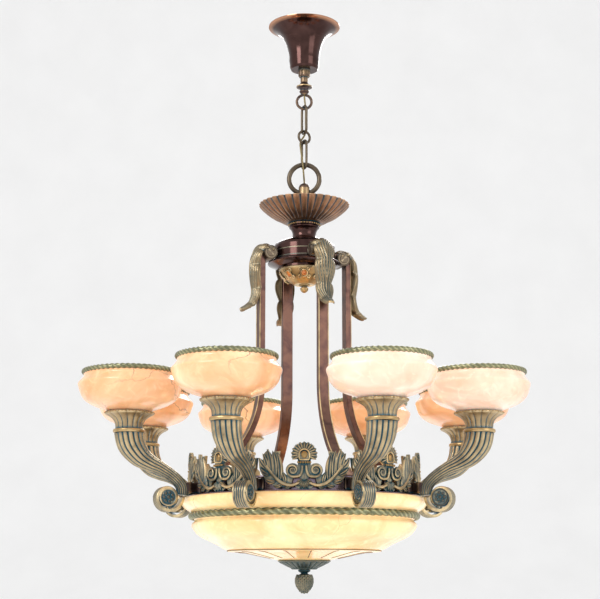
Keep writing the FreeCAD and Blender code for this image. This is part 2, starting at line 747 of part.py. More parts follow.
def arm_screw_z():
    return (gallery_top - GALLERY_LIP + gallery_foot + GALLERY_FOOT) / 2


def fan_outline(z):
    """Scalloped fan: a blunt lobe for each rib, over two thirds of a circle."""
    points = []
    spread = math.radians(FAN_SPREAD)
    for n in range(2 * FAN_RIBS + 1):
        angle = math.pi / 2 + spread * (0.5 - n / (2 * FAN_RIBS))
        reach = FAN_R * (1.0 if n % 2 else 0.90)
        points.append((reach * math.cos(angle), z + 0.95 * reach * math.sin(angle)))
    return face_of(*points)


def side_leaf(z, side):
    """One scrolled acanthus leaf beside the fan, with three lobes along its top."""
    outline = (
        (0.30, -68), (0.62, -70), (0.86, -54), (1.00, -28), (1.02, -6), (0.93, -15),
        (0.90, 2), (0.80, 12), (0.72, -2), (0.66, 6), (0.53, 7), (0.56, -12),
        (0.50, -34), (0.40, -43), (0.24, -46),
    )
    return face_of(*[(side * reach * LEAF_SPAN, z + rise) for reach, rise in outline])


def palmette_stem(fan_z, volute_z, foot_z):
    """The middle of the ornament: a neck of beads over a leaf that points down."""
    return face_of(
        (-14, fan_z), (14, fan_z), (14, volute_z - 10), (7, volute_z - 18), (22, foot_z + 8), (12, foot_z),
        (-12, foot_z), (-22, foot_z + 8), (-7, volute_z - 18), (-14, volute_z - 10),
    )


def palmette():
    """Honeysuckle ornament, curved to the gallery, on a stud that stands on the band."""
    fan_z = gallery_top + FAN_RISE
    volute_z = gallery_top + VOLUTE_RISE
    foot_z = gallery_foot + GALLERY_FOOT + 1.0
    faces = (side_leaf(fan_z, 1), side_leaf(fan_z, -1), palmette_stem(fan_z, volute_z, foot_z))
    plate = fan_outline(fan_z).extrude(Y_AXIS * 2 * GALLERY_R)
    for face in faces:
        plate = plate.fuse(face.extrude(Y_AXIS * 2 * GALLERY_R))
    for side in (-1, 1):
        disc = Part.makeCylinder(VOLUTE_R, 2 * GALLERY_R, Vector(side * VOLUTE_SPREAD, 0, volute_z), Y_AXIS)
        plate = plate.fuse(disc)
    plate.rotate(CENTRE, Z_AXIS, -90)
    shell = tube(PALMETTE_R + PALMETTE_THICK, PALMETTE_R, fan_z + 2 * FAN_R, gallery_foot)
    curved = plate.removeSplitter().common(shell)
    curved = raised_details(curved, fan_z, volute_z)
    stud = Part.makeCylinder(
        PALMETTE_STUD_R, PALMETTE_R - GALLERY_R + 1, Vector(GALLERY_R + SEAT_GAP, 0, arm_screw_z()), X_AXIS
    )
    return curved.fuse(stud)


def raised_details(plate, fan_z, volute_z):
    """The medallion and the eyes of the two volutes stand proud of the plate."""
    face_x = PALMETTE_R + PALMETTE_THICK
    medallion = Part.makeCone(15.0, 11.0, 4.0, Vector(face_x - 1, 0, fan_z - 6), X_AXIS)
    plate = plate.fuse(medallion)
    for side in (-1, 1):
        place = Vector(face_x - 2, side * VOLUTE_SPREAD, volute_z)
        eye = Part.makeCone(VOLUTE_R - 7, VOLUTE_R - 10, 5.0, place, X_AXIS)
        plate = plate.fuse(eye)
    return plate


# ---- arms -------------------------------------------------------------------------------
def horn_point(inward, down):
    foot_z = gallery_top - ARM_FOOT_DROP
    top_z = arm_ring_z
    return Vector(ARM_REACH - inward * (ARM_REACH - ARM_FOOT_R), 0, top_z - down * (top_z - foot_z))


def fluted_section(middle, along, thick, width, count):
    """Closed star polygon on an oval square to the horn's middle line."""
    across = Vector(along.z, 0, -along.x)
    corners = []
    for n in range(2 * count + 1):
        angle = math.pi * n / count
        reach = HORN_FLUTE_RATIO if n % 2 else 1.0
        outward = across * (thick * reach * math.cos(angle))
        corners.append(middle + outward + Y_AXIS * (width * reach * math.sin(angle)))
    return Part.makePolygon(corners)


def horn():
    """Fluted horn that narrows as it swings from its mouth down and in to the foot."""
    foot_scale = ARM_FOOT_THICK / 2 / ARM_TOP_R
    foot_width = ARM_FOOT_WIDTH / 2 / ARM_TOP_R
    stations = HORN_STATIONS + ((1.0, 0.90, foot_scale, foot_width), (1.0, 1.0, foot_scale, foot_width))
    spine = Part.BSplineCurve()
    spine.interpolate(
        [horn_point(s[0], s[1]) for s in stations],
        InitialTangent=Vector(0, 0, -1), FinalTangent=Vector(0, 0, -1),
    )
    sections = []
    for inward, down, thick, width in stations:
        middle = horn_point(inward, down)
        along = Vector(*spine.tangent(spine.parameter(middle))[0])
        sections.append(fluted_section(middle, along, thick * ARM_TOP_R, width * ARM_TOP_R, ARM_FLUTES))
    return Part.makeLoft(sections, True, True)


def arm_scroll():
    """The foot curls out and up into a round volute."""
    top = gallery_top - ARM_FOOT_DROP + 2
    back = ARM_FOOT_R - ARM_FOOT_THICK / 2
    front = ARM_FOOT_R + ARM_FOOT_THICK / 2
    eye_x = front + SCROLL_R - 1
    eye_z = top - 8
    low = eye_z - SCROLL_R
    outline = face_of(
        (back, top),
        (back + 10, eye_z - 11, eye_x, low),
        (eye_x + SCROLL_R, eye_z, eye_x, eye_z + SCROLL_R),
        (eye_x - 0.7 * SCROLL_R, eye_z + 0.7 * SCROLL_R, front + 1, eye_z + 2),
        (front, top),
    )
    slab = outline.extrude(Y_AXIS * SCROLL_WIDTH)
    slab.translate(Vector(0, -SCROLL_WIDTH / 2, 0))
    return slab


def arm_block():
    """Block between the gallery's band and the arm's back, tapped for its screw."""
    start = GALLERY_R + 3.2
    length = ARM_FOOT_R - start
    top = gallery_top - GALLERY_LIP
    corner = Vector(start, -ARM_BLOCK_WIDTH / 2, top - ARM_BLOCK_HEIGHT)
    block = Part.makeBox(length, ARM_BLOCK_WIDTH, ARM_BLOCK_HEIGHT, corner)
    pad = Part.makeBox(start - GALLERY_R - SEAT_GAP, ARM_BLOCK_WIDTH - 4, ARM_BLOCK_HEIGHT - 4,
                       Vector(GALLERY_R + SEAT_GAP, 2 - ARM_BLOCK_WIDTH / 2, top + 2 - ARM_BLOCK_HEIGHT))
    return block.fuse(pad)


def arm():
    body = horn().fuse(arm_scroll()).fuse(arm_block())
    middle = Vector(ARM_REACH, 0, arm_ring_z)
    for side in (-1, 1):
        ring = Part.makeCone(ARM_RING_R, ARM_RING_R - 2, ARM_RING_BEAD, middle, Z_AXIS * side)
        body = body.fuse(ring)
    return body.cut(screw_hole(GALLERY_R, GALLERY_R + SCREW_LENGTH, arm_screw_z()))


def arm_screws():
    return all_round(screw(GALLERY_R - GALLERY_WALL, arm_screw_z(), SCREW_LENGTH), ARM_AZIMUTHS)


# ---- cups -------------------------------------------------------------------------------
def on_arm(shape, azimuth):
    """Move a shape drawn round the Z axis to the end of an arm."""
    placed = shape.copy()
    placed.translate(Vector(ARM_REACH, 0, 0))
    return at_azimuth(placed, azimuth)


def on_arms(shape):
    return Part.makeCompound([on_arm(shape, azimuth) for azimuth in ARM_AZIMUTHS])


def calyx():
    """Fluted flower that carries a cup: a narrow neck, a flared skirt and a rolled edge."""
    foot = arm_ring_z + ARM_RING_BEAD
    edge = calyx_top - 8.0
    skirt = fluted(
        (
            (CALYX_NECK_R, foot),
            (CALYX_NECK_R + 1, foot + 0.30 * CALYX_HEIGHT),
            (CALYX_NECK_R + 8, foot + 0.62 * CALYX_HEIGHT),
            (CALYX_R - 3, edge),
        ),
        CALYX_FLUTES,
    )
    rim = spun(
        (0, edge),
        (CALYX_R - 3, edge),
        (CALYX_R, edge + 2.5),
        (CALYX_R, edge + 5.5),
        (CALYX_R - 3, calyx_top),
        (0, calyx_top),
    )
    body = skirt.fuse(rim).cut(rod(CUP_FOOT_R + 3, calyx_top, calyx_top - CALYX_SHELF))
    return body.cut(rod(SOCKET_R / 2 + SLIP_GAP, calyx_top, foot))


def cup():
    """Turned alabaster cup: a drawn-in neck over a wide rounded belly."""
    bulge = cup_rim - CUP_BULGE
    neck = cup_rim - 5.0
    outer = spun(
        (0, cup_rim),
        (CUP_RIM_R, cup_rim),
        (CUP_NECK_R, neck),
        (CUP_R - 4.5, bulge + 7.5),
        (CUP_R, bulge, CUP_R - 2.6, bulge - 8.0),
        (0.87 * CUP_R, cup_foot + 0.32 * CUP_HEIGHT, 0.60 * CUP_R, cup_foot + 0.14 * CUP_HEIGHT),
        (CUP_FOOT_R, cup_foot + CALYX_SHELF + SEAT_GAP),
        (CUP_FOOT_R, cup_foot),
        (0, cup_foot),
    )
    inner = spun(
        (0, cup_rim),
        (CUP_RIM_R - CUP_WALL, cup_rim),
        (CUP_NECK_R - CUP_WALL, neck),
        (CUP_R - CUP_WALL, bulge + 2),
        (CUP_R - 4 - CUP_WALL, bulge - 8),
        (0.86 * CUP_R - CUP_WALL, cup_foot + 0.33 * CUP_HEIGHT + 0.4 * CUP_WALL),
        (0.60 * CUP_R, cup_foot + 0.15 * CUP_HEIGHT + CUP_WALL),
        (CUP_FOOT_R, cup_foot + CUP_WALL),
        (0, cup_foot + CUP_WALL),
    )
    return outer.cut(inner).cut(rod(SOCKET_R / 2 + SLIP_GAP, cup_foot + CUP_WALL, cup_foot))


def rope_ring(radius, seat_z):
    """Rope moulding as a plain eight-sided bead; its strands are left to the finish."""
    half = ROPE_R * math.tan(math.pi / 8)
    middle = seat_z + ROPE_R
    return spun(
        (radius - half, seat_z), (radius - ROPE_R, middle - half), (radius - ROPE_R, middle + half),
        (radius - half, middle + ROPE_R), (radius + half, middle + ROPE_R), (radius + ROPE_R, middle + half),
        (radius + ROPE_R, middle - half), (radius + half, seat_z),
    )


def cup_socket():
    seat = cup_foot + CUP_WALL
    stalk = rod(SOCKET_R / 2, seat, arm_ring_z + 2 * ARM_RING_BEAD)
    body = rod(SOCKET_R, seat + SOCKET_HEIGHT, seat).fuse(stalk)
    return body.cut(rod(SOCKET_R - 3, seat + SOCKET_HEIGHT, seat + 8))


def cup_bulb():
    socket_top = cup_foot + CUP_WALL + SOCKET_HEIGHT
    neck_r = SOCKET_R - 4
    middle = socket_top + CUP_BULB_HEIGHT - CUP_BULB_R
    glass = Part.makeSphere(CUP_BULB_R, Vector(0, 0, middle))
    throat_height = middle - 0.6 * CUP_BULB_R - socket_top
    throat = Part.makeCone(neck_r, 0.8 * CUP_BULB_R, throat_height, Vector(0, 0, socket_top))
    return glass.fuse(throat).fuse(rod(neck_r, socket_top, socket_top - 22))


# ---- bowl -------------------------------------------------------------------------------
def alabaster_bowl():
    """Shallow turned bowl: a flared rim, a cove for the rope, a rounded body and a low centre."""
    rope_z = bowl_rim - BOWL_COVE_DEPTH
    notch = rope_z - 2.4 * ROPE_R
    shoulder = notch - 13.0
    panel = bowl_rim - BOWL_BODY_DEPTH
    wall = BOWL_WALL
    outer = spun(
        (0, bowl_rim),
        (BOWL_R - 13, bowl_rim),
        (BOWL_R - 3, bowl_rim - 3, BOWL_R, bowl_rim - 10),
        (BOWL_R - 13, rope_z + 12, bowl_rope_r - 3, rope_z),
        (bowl_rope_r - 4, notch + 4),
        (bowl_rope_r - 8, notch),
        (BOWL_SHOULDER_R - 1, shoulder + 1.5),
        (BOWL_SHOULDER_R, shoulder, BOWL_SHOULDER_R - 1, shoulder - 1.5),
        (BOWL_SHOULDER_R - 14, shoulder - 16, BOWL_SHOULDER_R - 42, shoulder - 32),
        (BOWL_PANEL_R + 20, panel + 7, BOWL_PANEL_R, panel),
        (BOWL_PANEL_R - 2, panel - 3),
        (0.80 * BOWL_PANEL_R, panel - 4, 0.57 * BOWL_PANEL_R, bowl_foot + 9),
        (CAP_R - 4, bowl_foot),
        (0, bowl_foot),
    )
    inner = spun(
        (0, bowl_rim),
        (BOWL_R - 13 - wall, bowl_rim),
        (BOWL_R - wall - 6, bowl_rim - 10),
        (bowl_rope_r - 5 - wall, rope_z + 2),
        (bowl_rope_r - 8 - wall, notch),
        (BOWL_SHOULDER_R - 1.2 * wall, shoulder),
        (BOWL_SHOULDER_R - 24, shoulder - 15),
        (BOWL_SHOULDER_R - 50, shoulder - 26),
        (BOWL_PANEL_R - 4, panel + wall),
        (0.57 * BOWL_PANEL_R, bowl_foot + 9 + wall),
        (CAP_R - 20, bowl_foot + wall),
        (0, bowl_foot + wall),
    )
    return outer.cut(inner).cut(rod(ROD_R + SLIP_GAP, bowl_foot + wall, bowl_foot))


def bowl_rope():
    """Rope bead in the bowl's cove; its back follows the cove's wall."""
    rope_z = bowl_rim - BOWL_COVE_DEPTH
    back_top = bowl_rope_r - 3 + SEAT_GAP
    back_foot = bowl_rope_r - 4 + SEAT_GAP
    reach = bowl_rope_r + ROPE_R + 1
    return spun(
        (back_top, rope_z - SEAT_GAP),
        (reach - 3, rope_z - SEAT_GAP),
        (reach, rope_z - 3),
        (reach, rope_z - 6),
        (reach - 3, rope_z - 8),
        (back_foot, rope_z - 8),
    )


def finial_cap():
    """Fluted dish that carries the bowl on the rod."""
    body = fluted(
        (
            (0.46 * CAP_R, cap_foot),
            (0.52 * CAP_R, bowl_foot - 0.85 * CAP_DEPTH),
            (0.76 * CAP_R, bowl_foot - 0.50 * CAP_DEPTH),
            (CAP_R - 2, bowl_foot - 3.0),
        ),
        CAP_FLUTES,
    )
    rim = spun(
        (0, bowl_foot - 3.0),
        (CAP_R - 2, bowl_foot - 3.0),
        (CAP_R, bowl_foot - 1.5),
        (CAP_R - 2, bowl_foot),
        (0, bowl_foot),
    )
    return body.fuse(rim).cut(rod(ROD_R + SLIP_GAP, bowl_foot, cap_foot))


def pine_finial():
    """Pine cone that screws up the rod under the cap, below a small collar."""
    top = cap_foot - SEAT_GAP
    foot = top - PINE_LENGTH
    cone = spun(
        (0, top),
        (0.62 * PINE_R, top),
        (0.68 * PINE_R, top - 2.5),
        (0.62 * PINE_R, top - 5),
        (0.40 * PINE_R, top - 7),
        (0.40 * PINE_R, top - 9),
        (0.78 * PINE_R, top - 13),
        (PINE_R, top - 24),
        (0.90 * PINE_R, top - 36),
        (0.62 * PINE_R, foot + 8),
        (0.34 * PINE_R, foot + 3),
        (2, foot),
        (0, foot),
    )
    return cone.cut(rod(ROD_R + THREAD_GAP, top, rod_foot - THREAD_END_GAP))


def bowl_rod():
    return rod(ROD_R, spider_z + SPIDER_HUB_HEIGHT - 2, rod_foot)


def lamp_spider():
    """Hub with four flat arms that lie on the gallery's foot and carry the inner lamps."""
    spider = rod(SPIDER_HUB_R, spider_z + SPIDER_HUB_HEIGHT, spider_z - SPIDER_THICK)
    reach = GALLERY_R - GALLERY_WALL - 3
    for azimuth in LAMP_AZIMUTHS:
        corner = Vector(0, -SPIDER_ARM_WIDTH / 2, spider_z - SPIDER_THICK)
        bar = Part.makeBox(reach, SPIDER_ARM_WIDTH, SPIDER_THICK, corner)
        spider = spider.fuse(at_azimuth(bar, azimuth))
    thread = rod(ROD_R + THREAD_GAP, spider_z + SPIDER_HUB_HEIGHT, spider_z - SPIDER_THICK)
    return spider.removeSplitter().cut(thread)


def bowl_sockets():
    top = spider_z - SPIDER_THICK
    socket = rod(BOWL_SOCKET_R, top, top - BOWL_SOCKET_HEIGHT, BOWL_LAMP_R)
    socket = socket.cut(rod(BOWL_SOCKET_R - 3, top - 8, top - BOWL_SOCKET_HEIGHT, BOWL_LAMP_R))
    return all_round(socket, LAMP_AZIMUTHS)


def bowl_bulbs():
    mouth = spider_z - SPIDER_THICK - BOWL_SOCKET_HEIGHT
    neck_r = BOWL_SOCKET_R - 4
    middle = mouth - BOWL_BULB_HEIGHT + BOWL_BULB_R
    glass = Part.makeSphere(BOWL_BULB_R, Vector(BOWL_LAMP_R, 0, middle))
    throat = Part.makeCone(
        0.8 * BOWL_BULB_R,
        neck_r,
        mouth - middle - 0.6 * BOWL_BULB_R,
        Vector(BOWL_LAMP_R, 0, middle + 0.6 * BOWL_BULB_R),
    )
    bulb = glass.fuse(throat).fuse(rod(neck_r, mouth + 22, mouth, BOWL_LAMP_R))
    return all_round(bulb, LAMP_AZIMUTHS)


# ---- supply cord ------------------------------------------------------------------------
def beside_chain(across, along, z):
    """A point by its distances square to the links' plane and along it."""
    turn = math.radians(LINK_TURN)
    square = Vector(math.sin(turn), math.cos(turn), 0)
    level = Vector(math.cos(turn), -math.sin(turn), 0)
    return square * across + level * along + Vector(0, 0, z)


def cord_route():
    """The cord leaves the loop's neck, weaves down the chain and enters the stem's head."""
    stem_top = ring_seat + STEM_DOME_RISE + STEM_R
    return [
        Vector(0, 0, -2),
        Vector(0, 0, loop_neck_foot - 5),
        beside_chain(7.6, -7.0, loop_seat + 5),
        beside_chain(7.8, -7.2, (upper_link_top + upper_link_foot) / 2),
        beside_chain(8.4, -7.6, upper_link_foot + 2),
        beside_chain(-8.4, -7.6, lower_link_top - 2),
        beside_chain(-7.8, 0.0, (lower_link_top + lower_link_foot) / 2),
        Vector(-3.6, -9.4, lower_link_foot + 10),
        Vector(-1.6, -4.0, lower_link_foot - 14),
        Vector(0, STEM_CORD_OFFSET, stem_top + 9),
        Vector(0, STEM_CORD_OFFSET, crown_z - 8),
    ]


def rounded_route(points):
    """Straight runs joined by tangent arcs as large as the runs allow."""
    edges = []
    radii = []
    here = points[0]
    for n in range(1, len(points) - 1):
        before = points[n] - points[n - 1]
        after = points[n + 1] - points[n]
        trim = 0.45 * min(before.Length, after.Length)
        into = before / before.Length
        out = after / after.Length
        turn = into.getAngle(out)
        radius = trim / math.tan(turn / 2)
        centre = points[n] + (out - into).normalize() * (radius / math.cos(turn / 2))
        middle = centre + (points[n] - centre).normalize() * radius
        start = points[n] - into * trim
        end = points[n] + out * trim
        edges.append(Part.makeLine(here, start))
        edges.append(Part.Arc(start, middle, end).toShape())
        radii.append(round(radius, 1))
        here = end
    edges.append(Part.makeLine(here, points[-1]))
    return Part.Wire(edges), radii


def supply_cord():
    path, radii = rounded_route(cord_route())
    section = Part.Wire(Part.makeCircle(CORD_R, path.Edges[0].firstVertex().Point, Z_AXIS))
    cord = piped(section, path)
    expected = math.pi * CORD_R ** 2 * path.Length
    print("cord length", round(path.Length, 1), "radii", radii)
    print("cord volume", round(cord.Volume, 1), "expected", round(expected, 1))
    return cord


# ---- the set ----------------------------------------------------------------------------
def pieces():
    ring_turn = 90.0 - LINK_TURN
    made = {
        "crossbar": crossbar(),
        "nipple": nipple(),
        "nipple_nut": nipple_nut(),
        "canopy": canopy(),
        "canopy_nut": canopy_nut(),
        "canopy_loop": canopy_loop(),
        "upper_chain_link": link(upper_link_top),
        "chain_ring": torus(CHAIN_RING_R, LINK_WIRE_R, chain_ring_z, ring_turn),
        "lower_chain_link": link(lower_link_top),
        "hanging_ring": torus(RING_R, RING_WIRE_R, ring_z),
        "supply_cord": supply_cord(),
        "hanger_stem": hanger_stem(),
        "crown_dish": crown_dish(),
        "crown_neck": crown_neck(),
        "hub_drum": hub_drum(),
        "hub_flange": hub_flange(),
        "hub_cup": hub_cup(),
        "hub_acorn": hub_acorn(),
        "hub_rod": hub_rod(),
        "strap_screws": strap_screws(),
        "gallery_ring": gallery_ring(),
        "palmettes": all_round(palmette(), PALMETTE_AZIMUTHS),
        "lamp_spider": lamp_spider(),
        "bowl_rod": bowl_rod(),
        "bowl_sockets": bowl_sockets(),
        "bowl_bulbs": bowl_bulbs(),
        "alabaster_bowl": alabaster_bowl(),
        "bowl_rope": bowl_rope(),
        "finial_cap": finial_cap(),
        "pine_finial": pine_finial(),
        "horn_arms": all_round(arm(), ARM_AZIMUTHS),
        "arm_screws": arm_screws(),
        "calyxes": on_arms(calyx()),
        "alabaster_cups": on_arms(cup()),
        "cup_ropes": on_arms(rope_ring(CUP_RIM_R - 3, cup_rim)),
        "cup_sockets": on_arms(cup_socket()),
        "cup_bulbs": on_arms(cup_bulb()),
    }
    one_strap = strap()
    one_leaf = strap_leaf()
    for n, azimuth in enumerate(STRAP_AZIMUTHS, 1):
        made[f"strap_{n}"] = at_azimuth(one_strap, azimuth)
        made[f"strap_leaf_{n}"] = at_azimuth(one_leaf, azimuth)
    return made


os.makedirs("parts", exist_ok=True)
for name, shape in pieces().items():
    shape.exportStep(f"parts/{name}.step")
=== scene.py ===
from math import copysign, cos, exp, pi, radians, sin, sqrt, tan

import bpy
from mathutils import Matrix, Vector


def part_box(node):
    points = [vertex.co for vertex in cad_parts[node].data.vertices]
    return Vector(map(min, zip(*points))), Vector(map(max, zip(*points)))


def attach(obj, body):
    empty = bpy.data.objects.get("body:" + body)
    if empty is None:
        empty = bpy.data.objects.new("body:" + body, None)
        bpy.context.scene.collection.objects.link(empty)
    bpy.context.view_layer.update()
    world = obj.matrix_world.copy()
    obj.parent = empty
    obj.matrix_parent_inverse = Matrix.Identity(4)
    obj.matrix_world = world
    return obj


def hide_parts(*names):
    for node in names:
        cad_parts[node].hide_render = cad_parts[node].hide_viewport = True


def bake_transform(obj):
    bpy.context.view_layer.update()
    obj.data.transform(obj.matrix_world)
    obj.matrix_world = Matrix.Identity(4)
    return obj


# The alabaster bowl pendant, finished for the picture. Forms are in millimetres, in the
# frame's axes: the origin is on the ceiling and -Y is the front. An azimuth is counted
# from the front towards +X, and a form that repeats is drawn along +X first.

MM = 0.001
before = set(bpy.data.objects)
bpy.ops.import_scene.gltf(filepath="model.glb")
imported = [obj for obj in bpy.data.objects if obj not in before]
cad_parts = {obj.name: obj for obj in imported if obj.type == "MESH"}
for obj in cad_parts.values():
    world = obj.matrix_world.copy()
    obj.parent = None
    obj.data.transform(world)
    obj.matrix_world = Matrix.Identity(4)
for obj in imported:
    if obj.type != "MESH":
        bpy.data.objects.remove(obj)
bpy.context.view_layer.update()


def span(node):
    """Lowest and highest corner of a node, in millimetres."""
    low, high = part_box(node)
    return low / MM, high / MM


# ---- places taken from the frame ----
gallery_low, gallery_high = span("gallery_ring")
GALLERY_TOP = gallery_high.z
GALLERY_FOOT = gallery_low.z
cups_low, cups_high = span("alabaster_cups")
CUP_RIM = cups_high.z
CUP_FOOT = cups_low.z
bowl_low, bowl_high = span("alabaster_bowl")
BOWL_RIM = bowl_high.z
BOWL_FOOT = bowl_low.z
dish_low, dish_high = span("crown_dish")
calyx_low, calyx_high = span("calyxes")
drum_low = span("hub_drum")[0]
cap_low, cap_high = span("finial_cap")
pine_low, pine_high = span("pine_finial")
hub_cup_low, hub_cup_high = span("hub_cup")

# ---- sizes ----
ARM_REACH = 418.0
ARM_AZIMUTHS = [22.5 + 45.0 * n for n in range(8)]
STRAP_AZIMUTHS = [22.5 + 90.0 * n for n in range(4)]
PALMETTE_AZIMUTHS = [45.0 * n for n in range(8)]
ARM_RING_Z = calyx_low.z - 4.5
CORD_R = 2.1


# ---- forms ----
class Form:
    """Vertices and faces that are gathered before they become one piece."""

    def __init__(self):
        self.points = []
        self.faces = []

    def add(self, points, faces):
        start = len(self.points)
        self.points.extend(Vector(p) for p in points)
        self.faces.extend(tuple(start + n for n in face) for face in faces)
        return self

    def join(self, other):
        return self.add(other.points, other.faces)

    def mapped(self, change):
        moved = Form()
        return moved.add([change(p) for p in self.points], self.faces)

    def capped(self, ring):
        """Close both ends of a run of rings that have so many points each."""
        count = len(self.points)
        self.faces.append(tuple(range(ring)))
        self.faces.append(tuple(reversed(range(count - ring, count))))
        return self


def grid_faces(rows, columns):
    """Faces between rows of points, where each row closes on itself."""
    faces = []
    for i in range(rows - 1):
        low = i * columns
        high = low + columns
        for k in range(columns):
            right = (k + 1) % columns
            faces.append((low + k, low + right, high + right, high + k))
    return faces


def circle(radius, z, steps, x=0.0):
    """Points of a level circle about the upright line at x."""
    turns = [2 * pi * n / steps for n in range(steps)]
    return [(x + radius * cos(turn), radius * sin(turn), z) for turn in turns]


def heading(line, n):
    """Direction at point n of a line whose points start with x and z."""
    before = line[max(0, n - 1)]
    after = line[min(len(line) - 1, n + 1)]
    return Vector((after[0] - before[0], 0, after[1] - before[1])).normalized()


def lathe(outline, segments, reach=None):
    """Turn an outline of (radius, height) about Z. reach scales the radius at an angle and row."""
    points = []
    last = len(outline) - 1
    for i, (radius, z) in enumerate(outline):
        for k in range(segments):
            angle = 2 * pi * k / segments
            r = radius * (reach(angle, i / last) if reach else 1.0)
            points.append((r * cos(angle), r * sin(angle), z))
    return Form().add(points, grid_faces(len(outline), segments))


def eased(points, steps):
    """A smooth run of points through the given ones (Catmull-Rom)."""
    dims = len(points[0])
    held = [points[0]] + list(points) + [points[-1]]
    run = []
    for n in range(1, len(held) - 2):
        a, b, c, d = held[n - 1:n + 3]
        for s in range(steps):
            t = s / steps
            run.append(tuple(
                0.5 * (2 * b[i] + (c[i] - a[i]) * t + (2 * a[i] - 5 * b[i] + 4 * c[i] - d[i]) * t * t
                       + (3 * b[i] - a[i] - 3 * c[i] + d[i]) * t ** 3)
                for i in range(dims)
            ))
    run.append(tuple(points[-1]))
    return run


def ball(radius, place, stretch, rows, columns):
    points = []
    for i in range(rows + 1):
        polar = pi * i / rows
        for k in range(columns):
            turn = 2 * pi * k / columns
            points.append((
                place[0] + radius * stretch[0] * sin(polar) * cos(turn),
                place[1] + radius * stretch[1] * sin(polar) * sin(turn),
                place[2] + radius * stretch[2] * cos(polar),
            ))
    return Form().add(points, grid_faces(rows + 1, columns))


def tube(path, radius, sides=10, closed=False, lobes=0, twist=0.0):
    """Round stock along a path. radius is a number or a function of the share of the way.

    With lobes, the section has that many strands, which turn by twist rounds on the way.
    """
    points = []
    count = len(path)
    path = [Vector(p) for p in path]
    side = None
    for n, here in enumerate(path):
        before = path[n - 1] if (n or closed) else here
        after = path[(n + 1) % count] if (n < count - 1 or closed) else here
        along = (after - before).normalized()
        if side is None:
            side = along.orthogonal().normalized()
        side = (side - along * side.dot(along)).normalized()
        across = along.cross(side)
        share = n / count if closed else n / (count - 1)
        r = radius(share) if callable(radius) else radius
        for k in range(sides):
            angle = 2 * pi * k / sides
            swell = r
            if lobes:
                strand = lobes / 2 * (angle - 2 * pi * twist * share)
                swell = r * (0.64 + 0.36 * abs(cos(strand)))
            points.append(here + side * swell * cos(angle) + across * swell * sin(angle))
    form = Form().add(points, grid_faces(count, sides))
    if closed:
        start = (count - 1) * sides
        for k in range(sides):
            form.faces.append((start + k, start + (k + 1) % sides, (k + 1) % sides, k))
    else:
        form.capped(sides)
    return form


def petal(base, tip, width, thick, hook, vein, rows, columns):
    """A leaf finger in the plane of X and Z that swells towards -Y, with a sunk vein."""
    base = Vector(base)
    tip = Vector(tip)
    along = tip - base
    across = Vector((along.z, 0, -along.x)).normalized()
    points = []
    for i in range(rows + 1):
        t = i / rows
        belly = 0.30 + 0.70 * sin(pi * min(1.0, 0.12 + 0.80 * t))
        half = width * belly * sqrt(max(0.0, 1 - t ** 5))
        bent = across * hook * sin(pi * t)
        middle = base + along * t + bent + Vector((0, -abs(hook) * 0.25 * t * t, 0))
        crown = 0.45 + 0.55 * sin(pi * min(1, 0.2 + 0.75 * t))
        for k in range(columns):
            s = 2 * k / (columns - 1) - 1
            bulge = sqrt(max(0.0, 1 - s * s)) * crown
            sink = vein * exp(-(s / 0.22) ** 2)
            points.append(middle + across * half * s + Vector((0, -thick * (bulge - sink), 0)))
        for k in range(columns - 2, 0, -1):
            s = 2 * k / (columns - 1) - 1
            points.append(middle + across * half * s + Vector((0, 0.35 * thick, 0)))
    ring = 2 * columns - 2
    return Form().add(points, grid_faces(rows + 1, ring)).capped(ring)


def spiral(centre, outer, inner, turns, start, way=1, steps=44):
    """Points of a spiral in the plane of X and Z, from its outside in."""
    run = []
    for n in range(steps + 1):
        t = n / steps
        radius = outer + (inner - outer) * t ** 0.8
        angle = start + way * 2 * pi * turns * t
        run.append((centre[0] + radius * cos(angle), 0.0, centre[1] + radius * sin(angle)))
    return run


# ---- pieces ----
def mesh_of(name, form, look):
    """A smooth mesh in metres of a form in millimetres."""
    data = bpy.data.meshes.new(name)
    data.from_pydata([p * MM for p in form.points], [], form.faces)
    data.validate()
    data.shade_smooth()
    data.materials.append(look)
    return data


def placed(name, data):
    """A new object of the scene that holds the data."""
    made = bpy.data.objects.new(name, data)
    bpy.context.scene.collection.objects.link(made)
    return made


def piece(name, form, body, look, stands_for=(), azimuth=None, crease=38.0, data=None):
    """Make a mesh piece, turn it to its azimuth and let it ride on its body."""
    if data is None:
        data = mesh_of(name, form, look)
        data.set_sharp_from_angle(angle=radians(crease))
    made = placed(name, data)
    if azimuth is not None:
        made.matrix_world = Matrix.Rotation(radians(azimuth - 90.0), 4, "Z")
    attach(made, body)
    if stands_for:
        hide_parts(*stands_for)
    return made


def repeated(name, form, azimuths, look, stands_for=(), crease=38.0):
    """The same form at several azimuths of the fixture, as pieces that share one mesh."""
    data = None
    for n, azimuth in enumerate(azimuths, 1):
        made = piece(f"{name}_{n}", form, "fixture", look, stands_for, azimuth, crease, data)
        data = made.data


